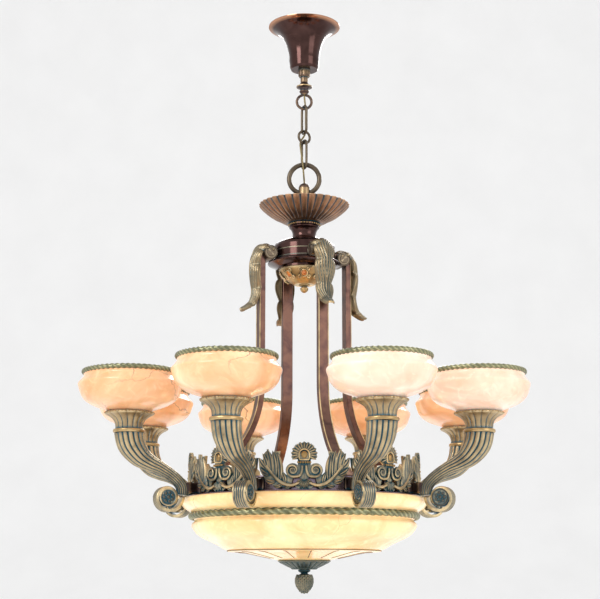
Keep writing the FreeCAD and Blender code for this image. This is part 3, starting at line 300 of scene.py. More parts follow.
# ---- materials ----
class Look:
    """A material's node tree, built one node at a time."""

    def __init__(self, name):
        self.material = bpy.data.materials.new(name)
        self.material.use_nodes = True
        self.tree = self.material.node_tree
        self.tree.nodes.clear()
        self.shader = self.node("ShaderNodeBsdfPrincipled")
        output = self.node("ShaderNodeOutputMaterial")
        self.link(self.shader.outputs[0], output.inputs["Surface"])

    def node(self, kind, **inputs):
        made = self.tree.nodes.new(kind)
        for name, value in inputs.items():
            made.inputs[name.replace("_", " ")].default_value = value
        return made

    def link(self, source, target):
        self.tree.links.new(source, target)

    def set(self, **values):
        for name, value in values.items():
            self.shader.inputs[name.replace("_", " ")].default_value = value

    def place(self):
        return self.node("ShaderNodeNewGeometry").outputs["Position"]

    def noise(self, scale, detail=4.0, distortion=0.0, point=None):
        made = self.node("ShaderNodeTexNoise", Scale=scale, Detail=detail, Distortion=distortion)
        self.link(point or self.place(), made.inputs["Vector"])
        return made.outputs["Fac"]

    def ramp(self, source, *stops):
        made = self.node("ShaderNodeValToRGB")
        band = made.color_ramp
        while len(band.elements) < len(stops):
            band.elements.new(0.5)
        for element, (place, colour) in zip(band.elements, stops):
            element.position = place
            element.color = (*colour, 1.0) if len(colour) == 3 else colour
        self.link(source, made.inputs["Fac"])
        return made.outputs["Color"]

    def mask(self, source, low, high):
        made = self.node("ShaderNodeMapRange", From_Min=low, From_Max=high)
        self.link(source, made.inputs["Value"])
        return made.outputs["Result"]

    def math(self, kind, a, b):
        made = self.node("ShaderNodeMath")
        made.operation = kind
        for n, value in enumerate((a, b)):
            if isinstance(value, (int, float)):
                made.inputs[n].default_value = value
            else:
                self.link(value, made.inputs[n])
        return made.outputs[0]

    def scaled(self, source, factor, start):
        return self.math("ADD", self.math("MULTIPLY", source, factor), start)

    def rise(self, low, high):
        """How far the surface lies between two heights in metres, from 0 to 1."""
        parts = self.node("ShaderNodeSeparateXYZ")
        self.link(self.place(), parts.inputs["Vector"])
        return self.mask(parts.outputs["Z"], low, high)

    def mix(self, share, a, b):
        made = self.node("ShaderNodeMix")
        made.data_type = "RGBA"
        for name, value in (("Factor", share), ("A", a), ("B", b)):
            socket = next(s for s in made.inputs if s.name == name and s.enabled)
            if isinstance(value, (int, float)):
                socket.default_value = value
            elif isinstance(value, tuple):
                socket.default_value = (*value, 1.0)
            else:
                self.link(value, socket)
        return next(s for s in made.outputs if s.enabled)

    def bump(self, height, strength, distance):
        made = self.node("ShaderNodeBump", Strength=strength, Distance=distance)
        self.link(height, made.inputs["Height"])
        self.link(made.outputs["Normal"], self.shader.inputs["Normal"])

    def colour(self, source):
        self.link(source, self.shader.inputs["Base Color"])


def shade(tone, share):
    """A colour with each of its parts scaled, and no part over 1."""
    return tuple(min(1.0, share * c) for c in tone)


def bronze(name, ground, worn, hollow, wear=(0.49, 0.56), fill=(0.55, 0.95), darker_below_span=None):
    """Cast bronze: rubbed bright on its edges, with a coloured patina left in the hollows.

    wear and fill say where the rubbing and the patina begin and end. Between the two
    heights of the last argument, the bronze turns darker towards the bottom.
    """
    look = Look(name)
    cloud = look.noise(38.0, 6.0, 0.4)
    fine = look.noise(420.0, 3.0)
    body = look.ramp(cloud, (0.30, shade(ground, 0.72)), (0.70, ground))
    if darker_below_span:
        # Darker towards the bottom, between the two given heights.
        below_share = look.rise(darker_below_span[1] * MM, darker_below_span[0] * MM)
        body = look.mix(look.math("MULTIPLY", below_share, 0.85), body, DARKER_BELOW_TONE)
    edges = look.node("ShaderNodeNewGeometry").outputs["Pointiness"]
    rubbed = look.math("MULTIPLY", look.mask(edges, *wear), look.mask(cloud, 0.25, 0.60))
    body = look.mix(rubbed, body, worn)
    occlusion = look.node("ShaderNodeAmbientOcclusion", Distance=0.007)
    occlusion.samples = 6
    open_air = look.math("ADD", occlusion.outputs["AO"], look.math("MULTIPLY", fine, 0.12))
    filled = look.mask(open_air, fill[1], fill[0])
    look.colour(look.mix(filled, body, hollow))
    look.link(look.mask(filled, 1.6, -0.2), look.shader.inputs["Metallic"])
    smooth, rough = 0.22, 0.45
    look.link(look.scaled(cloud, rough - smooth, smooth), look.shader.inputs["Roughness"])
    look.bump(fine, 0.25, 0.0006)
    look.set(Specular_IOR_Level=0.5)
    return look.material


def alabaster(name, pale, deep, vein, glow, low, high, reach=0.014):
    """Lit stone: cloudy bands, a few dark veins, and a warm light that comes through."""
    look = Look(name)
    cloud = look.noise(9.0, 5.0, 0.9)
    band = look.noise(28.0, 4.0, 1.8)
    rise = look.rise(low * MM, high * MM)
    stone = look.mix(look.mask(cloud, 0.30, 0.72), deep, pale)
    banded = look.math("MULTIPLY", look.mask(band, 0.55, 0.80), 0.45)
    stone = look.mix(banded, stone, shade(pale, 1.25))
    stone = look.mix(cracked(look, reach), stone, vein)
    look.colour(stone)
    look.link(stone, look.shader.inputs["Emission Color"])
    upward = look.math("MULTIPLY", rise, 0.35 * glow)
    patchy = look.math("MULTIPLY", cloud, 1.1 * glow)
    look.link(look.math("ADD", upward, patchy), look.shader.inputs["Emission Strength"])
    look.set(Subsurface_Weight=0.15, Subsurface_Scale=0.02)
    look.set(Roughness=0.24, Coat_Weight=0.35, Coat_Roughness=0.12)
    look.bump(look.noise(160.0, 3.0), 0.06, 0.0008)
    return look.material


def cracked(look, reach):
    """Where a few thin veins wander through the stone. reach is half of a vein's width."""
    cracks = look.node("ShaderNodeTexVoronoi", Scale=7.0)
    cracks.feature = "DISTANCE_TO_EDGE"
    bent = look.node("ShaderNodeVectorMath")
    bent.operation = "ADD"
    wander = look.node("ShaderNodeTexNoise", Scale=11.0, Detail=5.0)
    look.link(look.place(), wander.inputs["Vector"])
    shift = look.node("ShaderNodeVectorMath")
    shift.operation = "SCALE"
    shift.inputs["Scale"].default_value = 0.12
    look.link(wander.outputs["Color"], shift.inputs[0])
    look.link(look.place(), bent.inputs[0])
    look.link(shift.outputs[0], bent.inputs[1])
    look.link(bent.outputs[0], cracks.inputs["Vector"])
    thin = look.mask(cracks.outputs["Distance"], reach, 0.0)
    rare = look.mask(look.noise(4.3, 2.0), 0.52, 0.62)
    return look.math("MULTIPLY", look.math("MULTIPLY", thin, rare), 0.75)


def brushed(name, tone, roughness, scale, metal=1.0, stretch=(1.0, 1.0, 14.0)):
    """Plain worked metal or glaze with fine streaks."""
    look = Look(name)
    mapping = look.node("ShaderNodeMapping")
    mapping.inputs["Scale"].default_value = stretch
    look.link(look.place(), mapping.inputs["Vector"])
    streak = look.noise(scale, 5.0, 0.2, mapping.outputs[0])
    look.colour(look.ramp(streak, (0.30, shade(tone, 0.70)), (0.72, tone)))
    look.link(look.scaled(streak, 0.22, roughness - 0.10), look.shader.inputs["Roughness"])
    look.bump(streak, 0.08, 0.0004)
    look.set(Metallic=metal)
    return look.material


def polished_bronze():
    """Dark polished bronze, with a lighter, redder band at the very top of the canopy."""
    look = Look("polished_bronze_look")
    cloud = look.noise(24.0, 5.0, 0.6)
    dark = look.ramp(cloud, (0.30, (0.040, 0.020, 0.018)), (0.75, (0.10, 0.052, 0.045)))
    look.colour(look.mix(look.rise(-0.006, -0.002), dark, (0.42, 0.21, 0.12)))
    look.link(look.scaled(cloud, 0.14, 0.08), look.shader.inputs["Roughness"])
    look.bump(look.noise(260.0), 0.05, 0.0004)
    look.set(Metallic=0.95)
    return look.material


def lit_glass():
    look = Look("bulb_look")
    haze = look.noise(60.0, 3.0)
    tone = look.ramp(haze, (0.2, (1.0, 0.80, 0.52)), (0.8, (1.0, 0.93, 0.78)))
    look.colour(tone)
    look.link(tone, look.shader.inputs["Emission Color"])
    look.set(Emission_Strength=5.0, Roughness=0.35)
    return look.material


def braided_cord():
    look = Look("cord_look")
    wave = look.node("ShaderNodeTexWave", Scale=210.0, Distortion=1.5)
    wave.bands_direction = "DIAGONAL"
    look.link(look.place(), wave.inputs["Vector"])
    look.colour(look.ramp(wave.outputs["Fac"], (0.2, (0.10, 0.075, 0.03)), (0.8, (0.38, 0.29, 0.12))))
    look.bump(wave.outputs["Fac"], 0.5, 0.0005)
    look.set(Roughness=0.55)
    return look.material


BROWN = (0.085, 0.052, 0.046)
BRASS = (0.60, 0.42, 0.22)
TEAL = (0.010, 0.085, 0.115)
# The dark grey-green that the fluted bronze turns to towards the bottom.
DARKER_BELOW_TONE = (0.050, 0.060, 0.062)
EDGES = (0.50, 0.60)
KEEN_EDGES = (0.50, 0.57)
DEEP_FILL = (0.66, 0.99)
antique = bronze("antique_look", BROWN, BRASS, TEAL, wear=EDGES)
strap_bronze = bronze(
    "strap_look", (0.075, 0.038, 0.040), (0.42, 0.22, 0.13), (0.03, 0.025, 0.03), wear=(0.52, 0.66),
)
fluted_bronze = bronze(
    "fluted_look", (0.40, 0.285, 0.155), (0.78, 0.62, 0.36), (0.006, 0.11, 0.17), fill=(0.72, 0.99),
    darker_below_span=(GALLERY_FOOT, ARM_RING_Z + 10),
)
dish_bronze = bronze(
    "dish_look", (0.20, 0.115, 0.075), (0.60, 0.36, 0.20), (0.010, 0.09, 0.14), fill=(0.66, 0.97),
)
verdigris = bronze(
    "verdigris_look", (0.055, 0.085, 0.085), (0.46, 0.38, 0.24), (0.008, 0.070, 0.10), wear=EDGES,
)
gilt = bronze(
    "gilt_look", (0.42, 0.27, 0.11), (0.86, 0.66, 0.36), (0.05, 0.075, 0.07), fill=(0.45, 0.90),
)
rope_look = bronze(
    "rope_look", (0.20, 0.20, 0.11), (0.55, 0.52, 0.30), (0.008, 0.060, 0.055), EDGES, DEEP_FILL,
)
chain_look = bronze(
    "chain_look", (0.13, 0.10, 0.07), (0.48, 0.38, 0.24), (0.04, 0.035, 0.03), wear=(0.51, 0.66),
)
leaf_bronze = bronze(
    "leaf_look", (0.13, 0.125, 0.105), (0.66, 0.52, 0.30), (0.006, 0.085, 0.12), KEEN_EDGES, DEEP_FILL,
)
drape_bronze = bronze(
    "drape_look", (0.30, 0.225, 0.13), (0.80, 0.64, 0.38), (0.008, 0.085, 0.12), KEEN_EDGES, DEEP_FILL,
)
polished = polished_bronze()
gallery_look = brushed("gallery_look", (0.27, 0.215, 0.27), 0.20, 30.0)
steel = brushed("steel_look", (0.55, 0.53, 0.50), 0.38, 60.0)
EVEN = (1, 1, 1)
porcelain = brushed("porcelain_look", (0.90, 0.88, 0.82), 0.30, 40.0, metal=0.0, stretch=EVEN)
bulb_look = lit_glass()
cord_look = braided_cord()
seam_look = brushed("seam_look", (0.20, 0.10, 0.03), 0.5, 90.0, metal=0.2, stretch=EVEN)
cup_stone = alabaster(
    "cup_stone_look", (0.92, 0.58, 0.34), (0.70, 0.31, 0.12), (0.16, 0.09, 0.07), 0.34, CUP_FOOT, CUP_RIM,
)
# Painted light: a paler copy of the cup stone, for the two cups on the right, which look brighter.
painted_lit_stone = alabaster(
    "painted_lit_stone_look", (0.93, 0.74, 0.60), (0.80, 0.50, 0.34), (0.30, 0.24, 0.20), 0.36, CUP_FOOT, CUP_RIM,
)
bowl_stone = alabaster(
    "bowl_stone_look", (0.94, 0.73, 0.40), (0.80, 0.49, 0.19), (0.34, 0.19, 0.07), 0.42,
    BOWL_FOOT, BOWL_RIM, 0.006,
)


# ---- cups ----
def on_arm(form):
    """Move a form drawn round the Z axis to the end of an arm."""
    return form.mapped(lambda p: p + Vector((ARM_REACH, 0, 0)))


def cup_form():
    z = CUP_RIM
    outer = eased([
        (44, CUP_FOOT + 1), (56, z - 78.5), (80.9, z - 69.7), (98, z - 59.5), (107.5, z - 47.5),
        (112.3, z - 34), (115.0, z - 25.5), (114.2, z - 20.5), (110.5, z - 16.5), (105.6, z - 10.5),
        (102.8, z - 5.5), (103.3, z),
    ], 4)
    inner = eased([
        (96.5, z), (95.5, z - 5), (103, z - 15), (107, z - 25), (104, z - 36), (91, z - 56), (68, z - 67),
        (44, CUP_FOOT + 8), (9, CUP_FOOT + 7),
    ], 3)
    return on_arm(lathe([(7, CUP_FOOT + 0.2), (42, CUP_FOOT + 0.2)] + outer + inner, 96))


ROPE_STRANDS = 3
CUP_ROPE_STEPS = 54 * 6
CUP_ROPE_ROUNDS = 18


def cup_rope_form():
    low, high = span("cup_ropes")
    middle = (high.z + low.z) / 2 - 0.6
    path = circle(101.6, middle, CUP_ROPE_STEPS, ARM_REACH)
    return tube(path, 6.3, 12, True, ROPE_STRANDS, CUP_ROPE_ROUNDS)


CALYX_FLUTES = 16
FLUTE_END = 0.74


def calyx_form():
    """Turned cup with hollow flutes up to its bead row, drawn round the arm's end."""
    foot = calyx_low.z
    top = calyx_high.z
    outline = eased([
        (30.0, foot), (30.6, foot + 6), (31.6, foot + 12), (34.5, foot + 18), (39.5, foot + 23.5),
        (46.0, foot + 28), (52.0, foot + 31),
    ], 4)
    outline += eased([
        (54.6, foot + 32.6), (55.2, foot + 34.6), (54.0, foot + 36.8), (51.5, top - 0.6), (48.0, top),
    ], 3)
    outline += [(47.2, top), (47.0, top - 4.8), (7.0, top - 4.8)]

    def flutes(angle, row):
        if row > FLUTE_END:
            return 1.0
        depth = 0.075 * sin(pi * min(1.0, 0.15 + row / FLUTE_END * 0.85)) ** 0.5
        return 1.0 - depth * (1 - abs(sin(CALYX_FLUTES / 2 * angle)) ** 0.55)

    return on_arm(lathe(outline, 192, flutes))


def beads_round(count, radius, z, size, x=0.0):
    """A ring of small beads about the Z axis, or about the upright line at x."""
    form = Form()
    for place in circle(radius, z, count, x):
        form.join(ball(size, place, (1, 1, 1), 5, 8))
    return form


# Painted light: the two cups on the right get a paler, whiter copy of the stone, for the brighter light on
# them.
PAINTED_LIT_CUPS = ARM_AZIMUTHS[:2]
PEACH_CUPS = ARM_AZIMUTHS[2:]
cups = ["alabaster_cups"]
repeated("peach_cup", cup_form(), PEACH_CUPS, cup_stone, cups)
repeated("painted_lit_cup", cup_form(), PAINTED_LIT_CUPS, painted_lit_stone, cups)
calyx_bead_form = beads_round(44, 53.6, calyx_high.z - 3.4, 2.1, ARM_REACH)
for name, form, look, finish, nodes, crease in (
    ("cup_rope", cup_rope_form(), rope_look, "verdigris_bronze", ["cup_ropes"], 60),
    ("calyx", calyx_form(), fluted_bronze, "antique_bronze", ["calyxes"], 45),
    ("calyx_beads", calyx_bead_form, gilt, "gilt_brass", (), 38),
):
    repeated(name, form, ARM_AZIMUTHS, look, nodes, crease)


# ---- arms ----
ARM_FOOT_X = 293.5
ARM_FOOT_Z = GALLERY_TOP - 34.0
HORN_STATIONS = (
    (0.00, 0.00, 1.00, 1.00),
    (0.05, 0.20, 0.96, 0.95),
    (0.19, 0.38, 0.77, 0.83),
    (0.36, 0.485, 0.59, 0.70),
    (0.58, 0.575, 0.46, 0.58),
    (0.79, 0.685, 0.41, 0.48),
    (0.94, 0.80, 0.41, 0.41),
    (1.00, 0.90, 0.42, 0.38),
    (1.00, 1.00, 0.42, 0.38),
)
HORN_R = 33.0
HORN_RIBS = 16
EYE_X = ARM_FOOT_X + 36.0
EYE_Z = ARM_FOOT_Z - 6.0
SCROLL_HALF = 15.5


def horn_form():
    """Horn with sixteen rounded ribs that narrows on its way down and in to the foot."""
    drop = ARM_RING_Z - ARM_FOOT_Z
    inset = ARM_REACH - ARM_FOOT_X
    run = eased([
        (ARM_REACH - inward * inset, ARM_RING_Z - down * drop, thick * HORN_R, width * HORN_R)
        for inward, down, thick, width in HORN_STATIONS
    ], 6)
    points = []
    around = HORN_RIBS * 8
    for n, (x, z, thick, width) in enumerate(run):
        along = heading(run, n)
        across = Vector((along.z, 0, -along.x))
        for k in range(around):
            angle = 2 * pi * k / around
            rib = 0.875 + 0.125 * abs(sin(HORN_RIBS / 2 * angle)) ** 0.6
            aside = Vector((0, width * rib * sin(angle), 0))
            points.append(Vector((x, 0, z)) + across * (thick * rib * cos(angle)) + aside)
    return Form().add(points, grid_faces(len(run), around)).capped(around)


def scroll_path(outer=36.0, inner=19.5, turns=1.12, steps=64):
    """The volute's outside: it starts under the horn's foot and wraps once round the eye."""
    lead = 0.16
    path = []
    for n in range(steps + 1):
        t = n / steps
        angle = pi + 2 * pi * turns * t
        radius = inner + (outer - inner) * (1 - max(t, lead)) ** 2.2
        if t <= lead:
            radius = outer - (outer - radius) * (t / lead)
        path.append((EYE_X + radius * cos(angle), EYE_Z + radius * sin(angle)))
    return path


def band(path, half, thick, ribs):
    """A ribbon along a path of (x, z), ribbed on the side away from the eye."""
    columns = ribs * 6 + 1
    points = []
    for n, (x, z) in enumerate(path):
        along = heading(path, n)
        here = Vector((x, 0.0, z))
        out = Vector((along.z, 0, -along.x))
        share = n / (len(path) - 1)
        wide = half
        if share < 0.45:
            wide = half * (0.86 + 0.14 * sin(pi * min(1, 2.2 * share)))
        for k in range(columns):
            s = 2 * k / (columns - 1) - 1
            rib = 0.62 + 0.38 * abs(sin(pi * ribs * k / (columns - 1))) ** 0.6
            points.append(here + out * (thick * rib * 0.5) + Vector((0, wide * s, 0)))
        for edge in (wide, -wide):
            points.append(here - out * (thick * 0.5) + Vector((0, edge, 0)))
    ring = columns + 2
    return Form().add(points, grid_faces(len(path), ring)).capped(ring)


def lying(form, x, z):
    """Turn a form drawn round Z so that its axis lies along Y, at a place in the XZ plane."""
    return form.mapped(lambda p: Vector((x + p.x, p.z, z + p.y)))


def scroll_form():
    """The rolled foot of an arm, with a raised rim round the rosette's seat on each side."""
    form = band(scroll_path(), SCROLL_HALF, 6.4, 6)
    for side in (-1, 1):
        face = side * (SCROLL_HALF - 1.2)
        rim = side * SCROLL_HALF
        disc = lathe([
            (0.01, face), (15.6, face), (16.2, rim), (18.2, rim + 0.6 * side), (19.6, rim), (20.4, face),
            (20.4, 0),
        ], 48)
        form.join(lying(disc, EYE_X, EYE_Z))
    return form


def rosette_form():
    """Seven petals round a boss, on both sides of the scroll."""
    form = Form()
    petals = 7
    for side in (-1, 1):
        face = side * (SCROLL_HALF - 0.8)
        for n in range(petals):
            turn = 2 * pi * n / petals
            place = (EYE_X + 10.0 * cos(turn), face, EYE_Z + 10.0 * sin(turn))
            form.join(ball(3.9, place, (1, 0.7, 1), 7, 12))
        form.join(ball(4.6, (EYE_X, face, EYE_Z), (1, 0.8, 1), 7, 12))
    return form


def arm_ring_form():
    half = 4.4
    bead = eased([
        (r, ARM_RING_Z + up)
        for r, up in ((31.5, -half), (34.2, -3.6), (35.4, -1.6), (35.4, 1.6), (34.2, 3.6), (31.5, half))
    ], 4)
    return on_arm(lathe([(8, ARM_RING_Z - half)] + bead + [(8, ARM_RING_Z + half)], 72))


def squared(value):
    """A sine or cosine that is pushed out, so that its circle turns into a rounded square."""
    return copysign(abs(value) ** 0.35, value)


def block_form():
    """Moulded block between the gallery's band and the horn's back."""
    rows = (
        (248.4, 8.4, 11.6), (251.2, 8.4, 11.6), (251.4, 10.6, 14.0), (255.0, 10.6, 14.0),
        (256.0, 9.4, 12.6), (258.0, 8.2, 11.4), (262.0, 8.0, 11.0), (272.0, 8.0, 11.0),
        (274.0, 9.0, 12.0), (278.0, 9.6, 12.6), (281.0, 9.0, 12.0), (290.0, 8.0, 10.0),
    )
    middle = GALLERY_TOP - 4.0 - 13.5
    points = []
    around = 40
    for x, half_y, half_z in rows:
        for k in range(around):
            angle = 2 * pi * k / around
            y = half_y * squared(cos(angle))
            points.append((x, y, middle + half_z * squared(sin(angle))))
    return Form().add(points, grid_faces(len(rows), around)).capped(around)


for name, form, look, finish, nodes, crease in (
    ("horn", horn_form(), fluted_bronze, "antique_bronze", ["horn_arms"], 50),
    ("arm_scroll", scroll_form(), fluted_bronze, "antique_bronze", ["horn_arms"], 50),
    ("arm_rosette", rosette_form(), leaf_bronze, "verdigris_bronze", (), 38),
    ("arm_ring", arm_ring_form(), gilt, "gilt_brass", ["horn_arms"], 38),
    ("arm_block", block_form(), antique, "antique_bronze", ["horn_arms"], 50),
):
    repeated(name, form, ARM_AZIMUTHS, look, nodes, crease)


# ---- palmettes ----
def wrapped(form, radius):
    """Bend a form that is drawn flat, facing -Y, round the lamp so that it faces +X."""
    def bend(p):
        angle = p.x / radius
        reach = radius - p.y
        return Vector((reach * cos(angle), reach * sin(angle), p.z))
    return form.mapped(bend)


FAN_Z = GALLERY_TOP + 43.0
LOWER_FAN_Z = FAN_Z - 52
PLATE_FRONT = 262.0


def mirrored(form):
    points = [(-p.x, p.y, p.z) for p in form.points]
    return Form().add(points, [tuple(reversed(f)) for f in form.faces])


def fan_form():
    """The fan of petals over the medallion, and the smaller one that hangs under the stem."""
    form = Form()
    petals = 15
    for n in range(petals):
        angle = radians(90 + 116 * (1 - 2 * n / (petals - 1)))
        c, s = cos(angle), 0.95 * sin(angle)
        start = (9 * c, 0, FAN_Z + 9 * s)
        form.join(petal(start, (28.6 * c, 0, FAN_Z + 28.6 * s), 3.1, 4.6, 0, 0.0, 8, 7))
    for n in range(-3, 4):
        angle = radians(-90 + 62 * n / 3)
        c, s = cos(angle), sin(angle)
        reach = 25 - 1.6 * abs(n)
        start = (4 * c, 0, LOWER_FAN_Z + 4 * s)
        form.join(petal(start, (reach * c, 0, LOWER_FAN_Z + reach * s), 3.4, 4.4, 0, 0.3, 8, 7))
    return form


def medallion_form():
    """A round-headed boss in a raised frame, with a row of beads under it."""
    form = ball(7.2, (0, -2.0, FAN_Z - 1), (1, 0.55, 1.15), 10, 20)
    head = [pi * n / 16 for n in range(17)]
    edge = [(11 * cos(a), -3.2, FAN_Z - 2 + 12.5 * sin(a)) for a in head]
    edge += [(x, -3.2, FAN_Z - down) for x, down in ((-11, 8), (-9, 12), (9, 12), (11, 8))]
    form.join(tube(edge, 1.7, 8, True))
    for n in range(6):
        form.join(ball(2.5, (5.0 * (n - 2.5), -3.4, FAN_Z - 17.5), (1, 1, 1), 6, 10))
    return form


def volute_form():
    """The pair of stems that rise from the lower fan and curl in beside it."""
    centre = (24.5, GALLERY_TOP + 9.0)
    curl = spiral(centre, 14.2, 3.2, 1.6, radians(-100))
    lead = eased([(4.0, 0.0, FAN_Z - 24), (5.0, 0.0, FAN_Z - 36), (10.5, 0.0, FAN_Z - 46), curl[0]], 6)
    line = [(x, -2.6, z) for x, _, z in lead[:-1] + curl]
    right = tube(line, lambda share: 3.1 - 1.2 * share, 8)
    right.join(ball(4.0, (centre[0], -3.0, centre[1]), (1, 0.8, 1), 7, 12))
    return Form().join(right).join(mirrored(right))


def side_leaf_form():
    """Acanthus leaf that sweeps out from the lower fan and opens upwards in four fingers."""
    stem = eased([
        (10, -2, FAN_Z - 60), (28, -2.4, FAN_Z - 66), (48, -2.6, FAN_Z - 60), (66, -2.8, FAN_Z - 44),
        (82, -2.6, FAN_Z - 22),
    ], 6)
    right = tube(stem, lambda share: 2.6 + 1.6 * sin(pi * share), 8)
    fingers = (
        ((40, -62), (47, -38), 5.0, -1.5), ((52, -56), (58, 4), 7.0, -3.0), ((62, -50), (68, 8), 6.5, -2.0),
        ((70, -42), (80, 12), 7.5, -3.0), ((78, -34), (90, 3), 6.0, -2.0), ((82, -30), (98, -6), 6.0, 2.0),
        ((76, -44), (96, -28), 5.5, 3.0), ((62, -58), (84, -53), 5.5, 3.0), ((46, -64), (66, -68), 4.5, 2.0),
        ((28, -66), (44, -72), 4.0, 2.0),
    )
    for start, end, width, hook in fingers:
        base = (start[0], 0, FAN_Z + start[1])
        right.join(petal(base, (end[0], 0, FAN_Z + end[1]), width, 5.4, hook, 0.45, 12, 9))
    return Form().join(right).join(mirrored(right))


for name, flat_form, look, finish in (
    ("palmette_fan", fan_form(), leaf_bronze, "verdigris_bronze"),
    ("palmette_medallion", medallion_form(), gilt, "gilt_brass"),
    ("palmette_volutes", volute_form(), leaf_bronze, "verdigris_bronze"),
    ("palmette_leaves", side_leaf_form(), leaf_bronze, "verdigris_bronze"),
):
    repeated(name, wrapped(flat_form, PLATE_FRONT), PALMETTE_AZIMUTHS, look, (), 55)


# ---- straps and their leaves ----
HUB_R = 73.0
TONGUE_Z = drum_low.z + 16.25
SCROLL_X = 93.0
SCROLL_Z = TONGUE_Z - 6.0
STRAP_X = 109.0
LEAF_HALF = 25.0
LEAF_LOBES = 6.0
LEAF_LINE = (
    (-17, 4), (-10, 17.5), (6, 22.0), (24, 16), (37, -4), (43, -30), (41, -66), (38, -96), (44, -116),
    (56, -130), (67, -135.5),
)


def draped_leaf_form():
    """Lobed acanthus leaf that falls over the scroll and turns its tip outwards."""
    line = eased([(SCROLL_X + out, SCROLL_Z + up) for out, up in LEAF_LINE], 12)
    columns = 61
    points = []
    last = len(line) - 1
    for n, (x, z) in enumerate(line):
        along = heading(line, n)
        out = Vector((-along.z, 0, along.x))
        t = n / last
        finger = sin(pi * ((LEAF_LOBES * t) % 1.0) ** 0.7)
        taper = 1.0 if t < 0.55 else 1.0 - 0.66 * ((t - 0.55) / 0.45) ** 1.5
        half = LEAF_HALF * taper * (0.80 + 0.22 * finger)
        wrap = 15.0 * sin(pi * min(1.0, 0.1 + 0.9 * t)) ** 0.5
        lift = 5.0 * finger * min(1.0, t * 3) * taper
        sweep = 9.0 * (t - 0.1) + LEAF_LOBES * t
        for face, order in ((1, range(columns)), (0, range(columns - 1, -1, -1))):
            for k in order:
                s = 2 * k / (columns - 1) - 1
                depth = lift * abs(s) ** 3 - wrap * s * s * abs(s) ** 0.4
                depth += leaf_relief(s, sweep) if face else -3.6
                points.append(Vector((x, half * s * (1.0 if face else 0.985), z)) + out * depth)
    ring = 2 * columns
    return Form().add(points, grid_faces(len(line), ring)).capped(ring)


def leaf_relief(s, sweep):
    """Ribs and middle vein on a leaf's face, at a share s of the way to its edge."""
    groove = abs(sin(pi * (4.2 * abs(s) + 0.35 * sweep)))
    rib = 2.8 * (groove ** 0.55 - 0.5) * min(1.0, 4 * (1 - abs(s)) + 0.3)
    return rib + 2.0 * exp(-(s / 0.08) ** 2)


def leaf_scroll_form():
    """The rolled end of a leaf: a drum across the strap with a plain round face each side."""
    half = LEAF_HALF - 1.0
    outline = [
        (0.01, -half), (9.5, -half), (10.5, -half + 1.2), (14.0, -half + 1.2), (15.0, -half),
        (16.6, -half + 0.4), (17.0, -half + 1.6),
    ]
    outline += [(r, -z) for r, z in reversed(outline)]
    return lying(lathe(outline, 56), SCROLL_X, SCROLL_Z)


STRAP_SLOPE = radians(52.0)
STRAP_BEND = 240.0
STRAP_FOOT_X = 244.0
TONGUE_BEND = 20


def strap_line():
    """The middle line of a strap, from the hub's drum out and down to the gallery."""
    bend_x = STRAP_X + STRAP_BEND * (1 - cos(STRAP_SLOPE))
    run = (STRAP_FOOT_X - bend_x) / sin(STRAP_SLOPE)
    bend_z = GALLERY_TOP + run * cos(STRAP_SLOPE)
    start_z = bend_z + STRAP_BEND * sin(STRAP_SLOPE)
    centre_x, centre_z = STRAP_X - TONGUE_BEND, TONGUE_Z - TONGUE_BEND
    line = [(HUB_R + 0.3, TONGUE_Z)]
    for n in range(9):
        turn = radians(90 * n / 8)
        line.append((centre_x + TONGUE_BEND * sin(turn), centre_z + TONGUE_BEND * cos(turn)))
    line.append((STRAP_X, (centre_z + start_z) / 2))
    for n in range(25):
        turn = STRAP_SLOPE * n / 24
        line.append((STRAP_X + STRAP_BEND * (1 - cos(turn)), start_z - STRAP_BEND * sin(turn)))
    line.append((STRAP_FOOT_X - 6.2, GALLERY_TOP + 4.8))
    return line


def strap_edge_form():
    """The two bright beads that run along a strap's outer corners."""
    line = strap_line()
    form = Form()
    for side in (-1, 1):
        path = []
        for n, (x, z) in enumerate(line[1:], 1):
            along = heading(line, n)
            path.append(Vector((x, side * 11.3, z)) + Vector((-along.z, 0, along.x)) * 6.3)
        form.join(tube(path, 1.25, 8))
    return form


for number, azimuth in enumerate(STRAP_AZIMUTHS, 1):
    nodes = [f"strap_leaf_{number}"]
    for name, form, look, finish, crease in (
        ("draped_leaf", draped_leaf_form(), drape_bronze, "verdigris_bronze", 60),
        ("leaf_scroll", leaf_scroll_form(), chain_look, "antique_bronze", 40),
    ):
        piece(f"{name}_{number}", form, "fixture", look, nodes, azimuth, crease)
repeated("strap_edges", strap_edge_form(), STRAP_AZIMUTHS, gilt)


# ---- crown and hub ----
DISH_LOBES = 34


def dish_form():
    """Shallow dish: rounded lobes that run out to a scalloped rim."""
    rim = dish_high.z
    foot = dish_low.z
    depth = rim - foot
    outer = eased([
        (36, foot), (50, foot + 3.5), (61, foot + 0.20 * depth), (76, foot + 0.36 * depth),
        (88, foot + 0.54 * depth), (98, foot + 0.72 * depth), (105, foot + 0.86 * depth),
        (108.2, rim - 1.6),
    ], 4)
    lip = [(107.6, rim - 0.3), (105.6, rim)]
    inner = eased([
        (102.5, rim - 1.5), (98, rim - 9.5), (81, rim - 21.8), (60, rim - 33), (38, foot + 3), (16, foot + 3),
    ], 3)
    outline = [(13.2, foot), (34, foot)] + outer + lip + inner
    lobes_start = 2
    lobes_end = lobes_start + len(outer) + len(lip)

    def lobes(angle, row):
        place = row * (len(outline) - 1)
        if place < lobes_start:
            return 1.0
        if place > lobes_end:
            return 0.965
        depth_here = 0.055 * min(1.0, (place - 1) / 6)
        return 1.0 - depth_here * (1 - abs(sin(DISH_LOBES / 2 * angle)) ** 0.5)

    return lathe(outline, 10 * DISH_LOBES, lobes)


def drum_lines_form():
    """The two dark lines let into the drum."""
    middle = drum_low.z + 12.0
    form = Form()
    for z in (middle - 8.5, middle + 8.5):
        outline = [(72.0, z - 0.9), (73.15, z - 0.9), (73.3, z), (73.15, z + 0.9), (72.0, z + 0.9)]
        form.join(lathe(outline, 96))
    return form


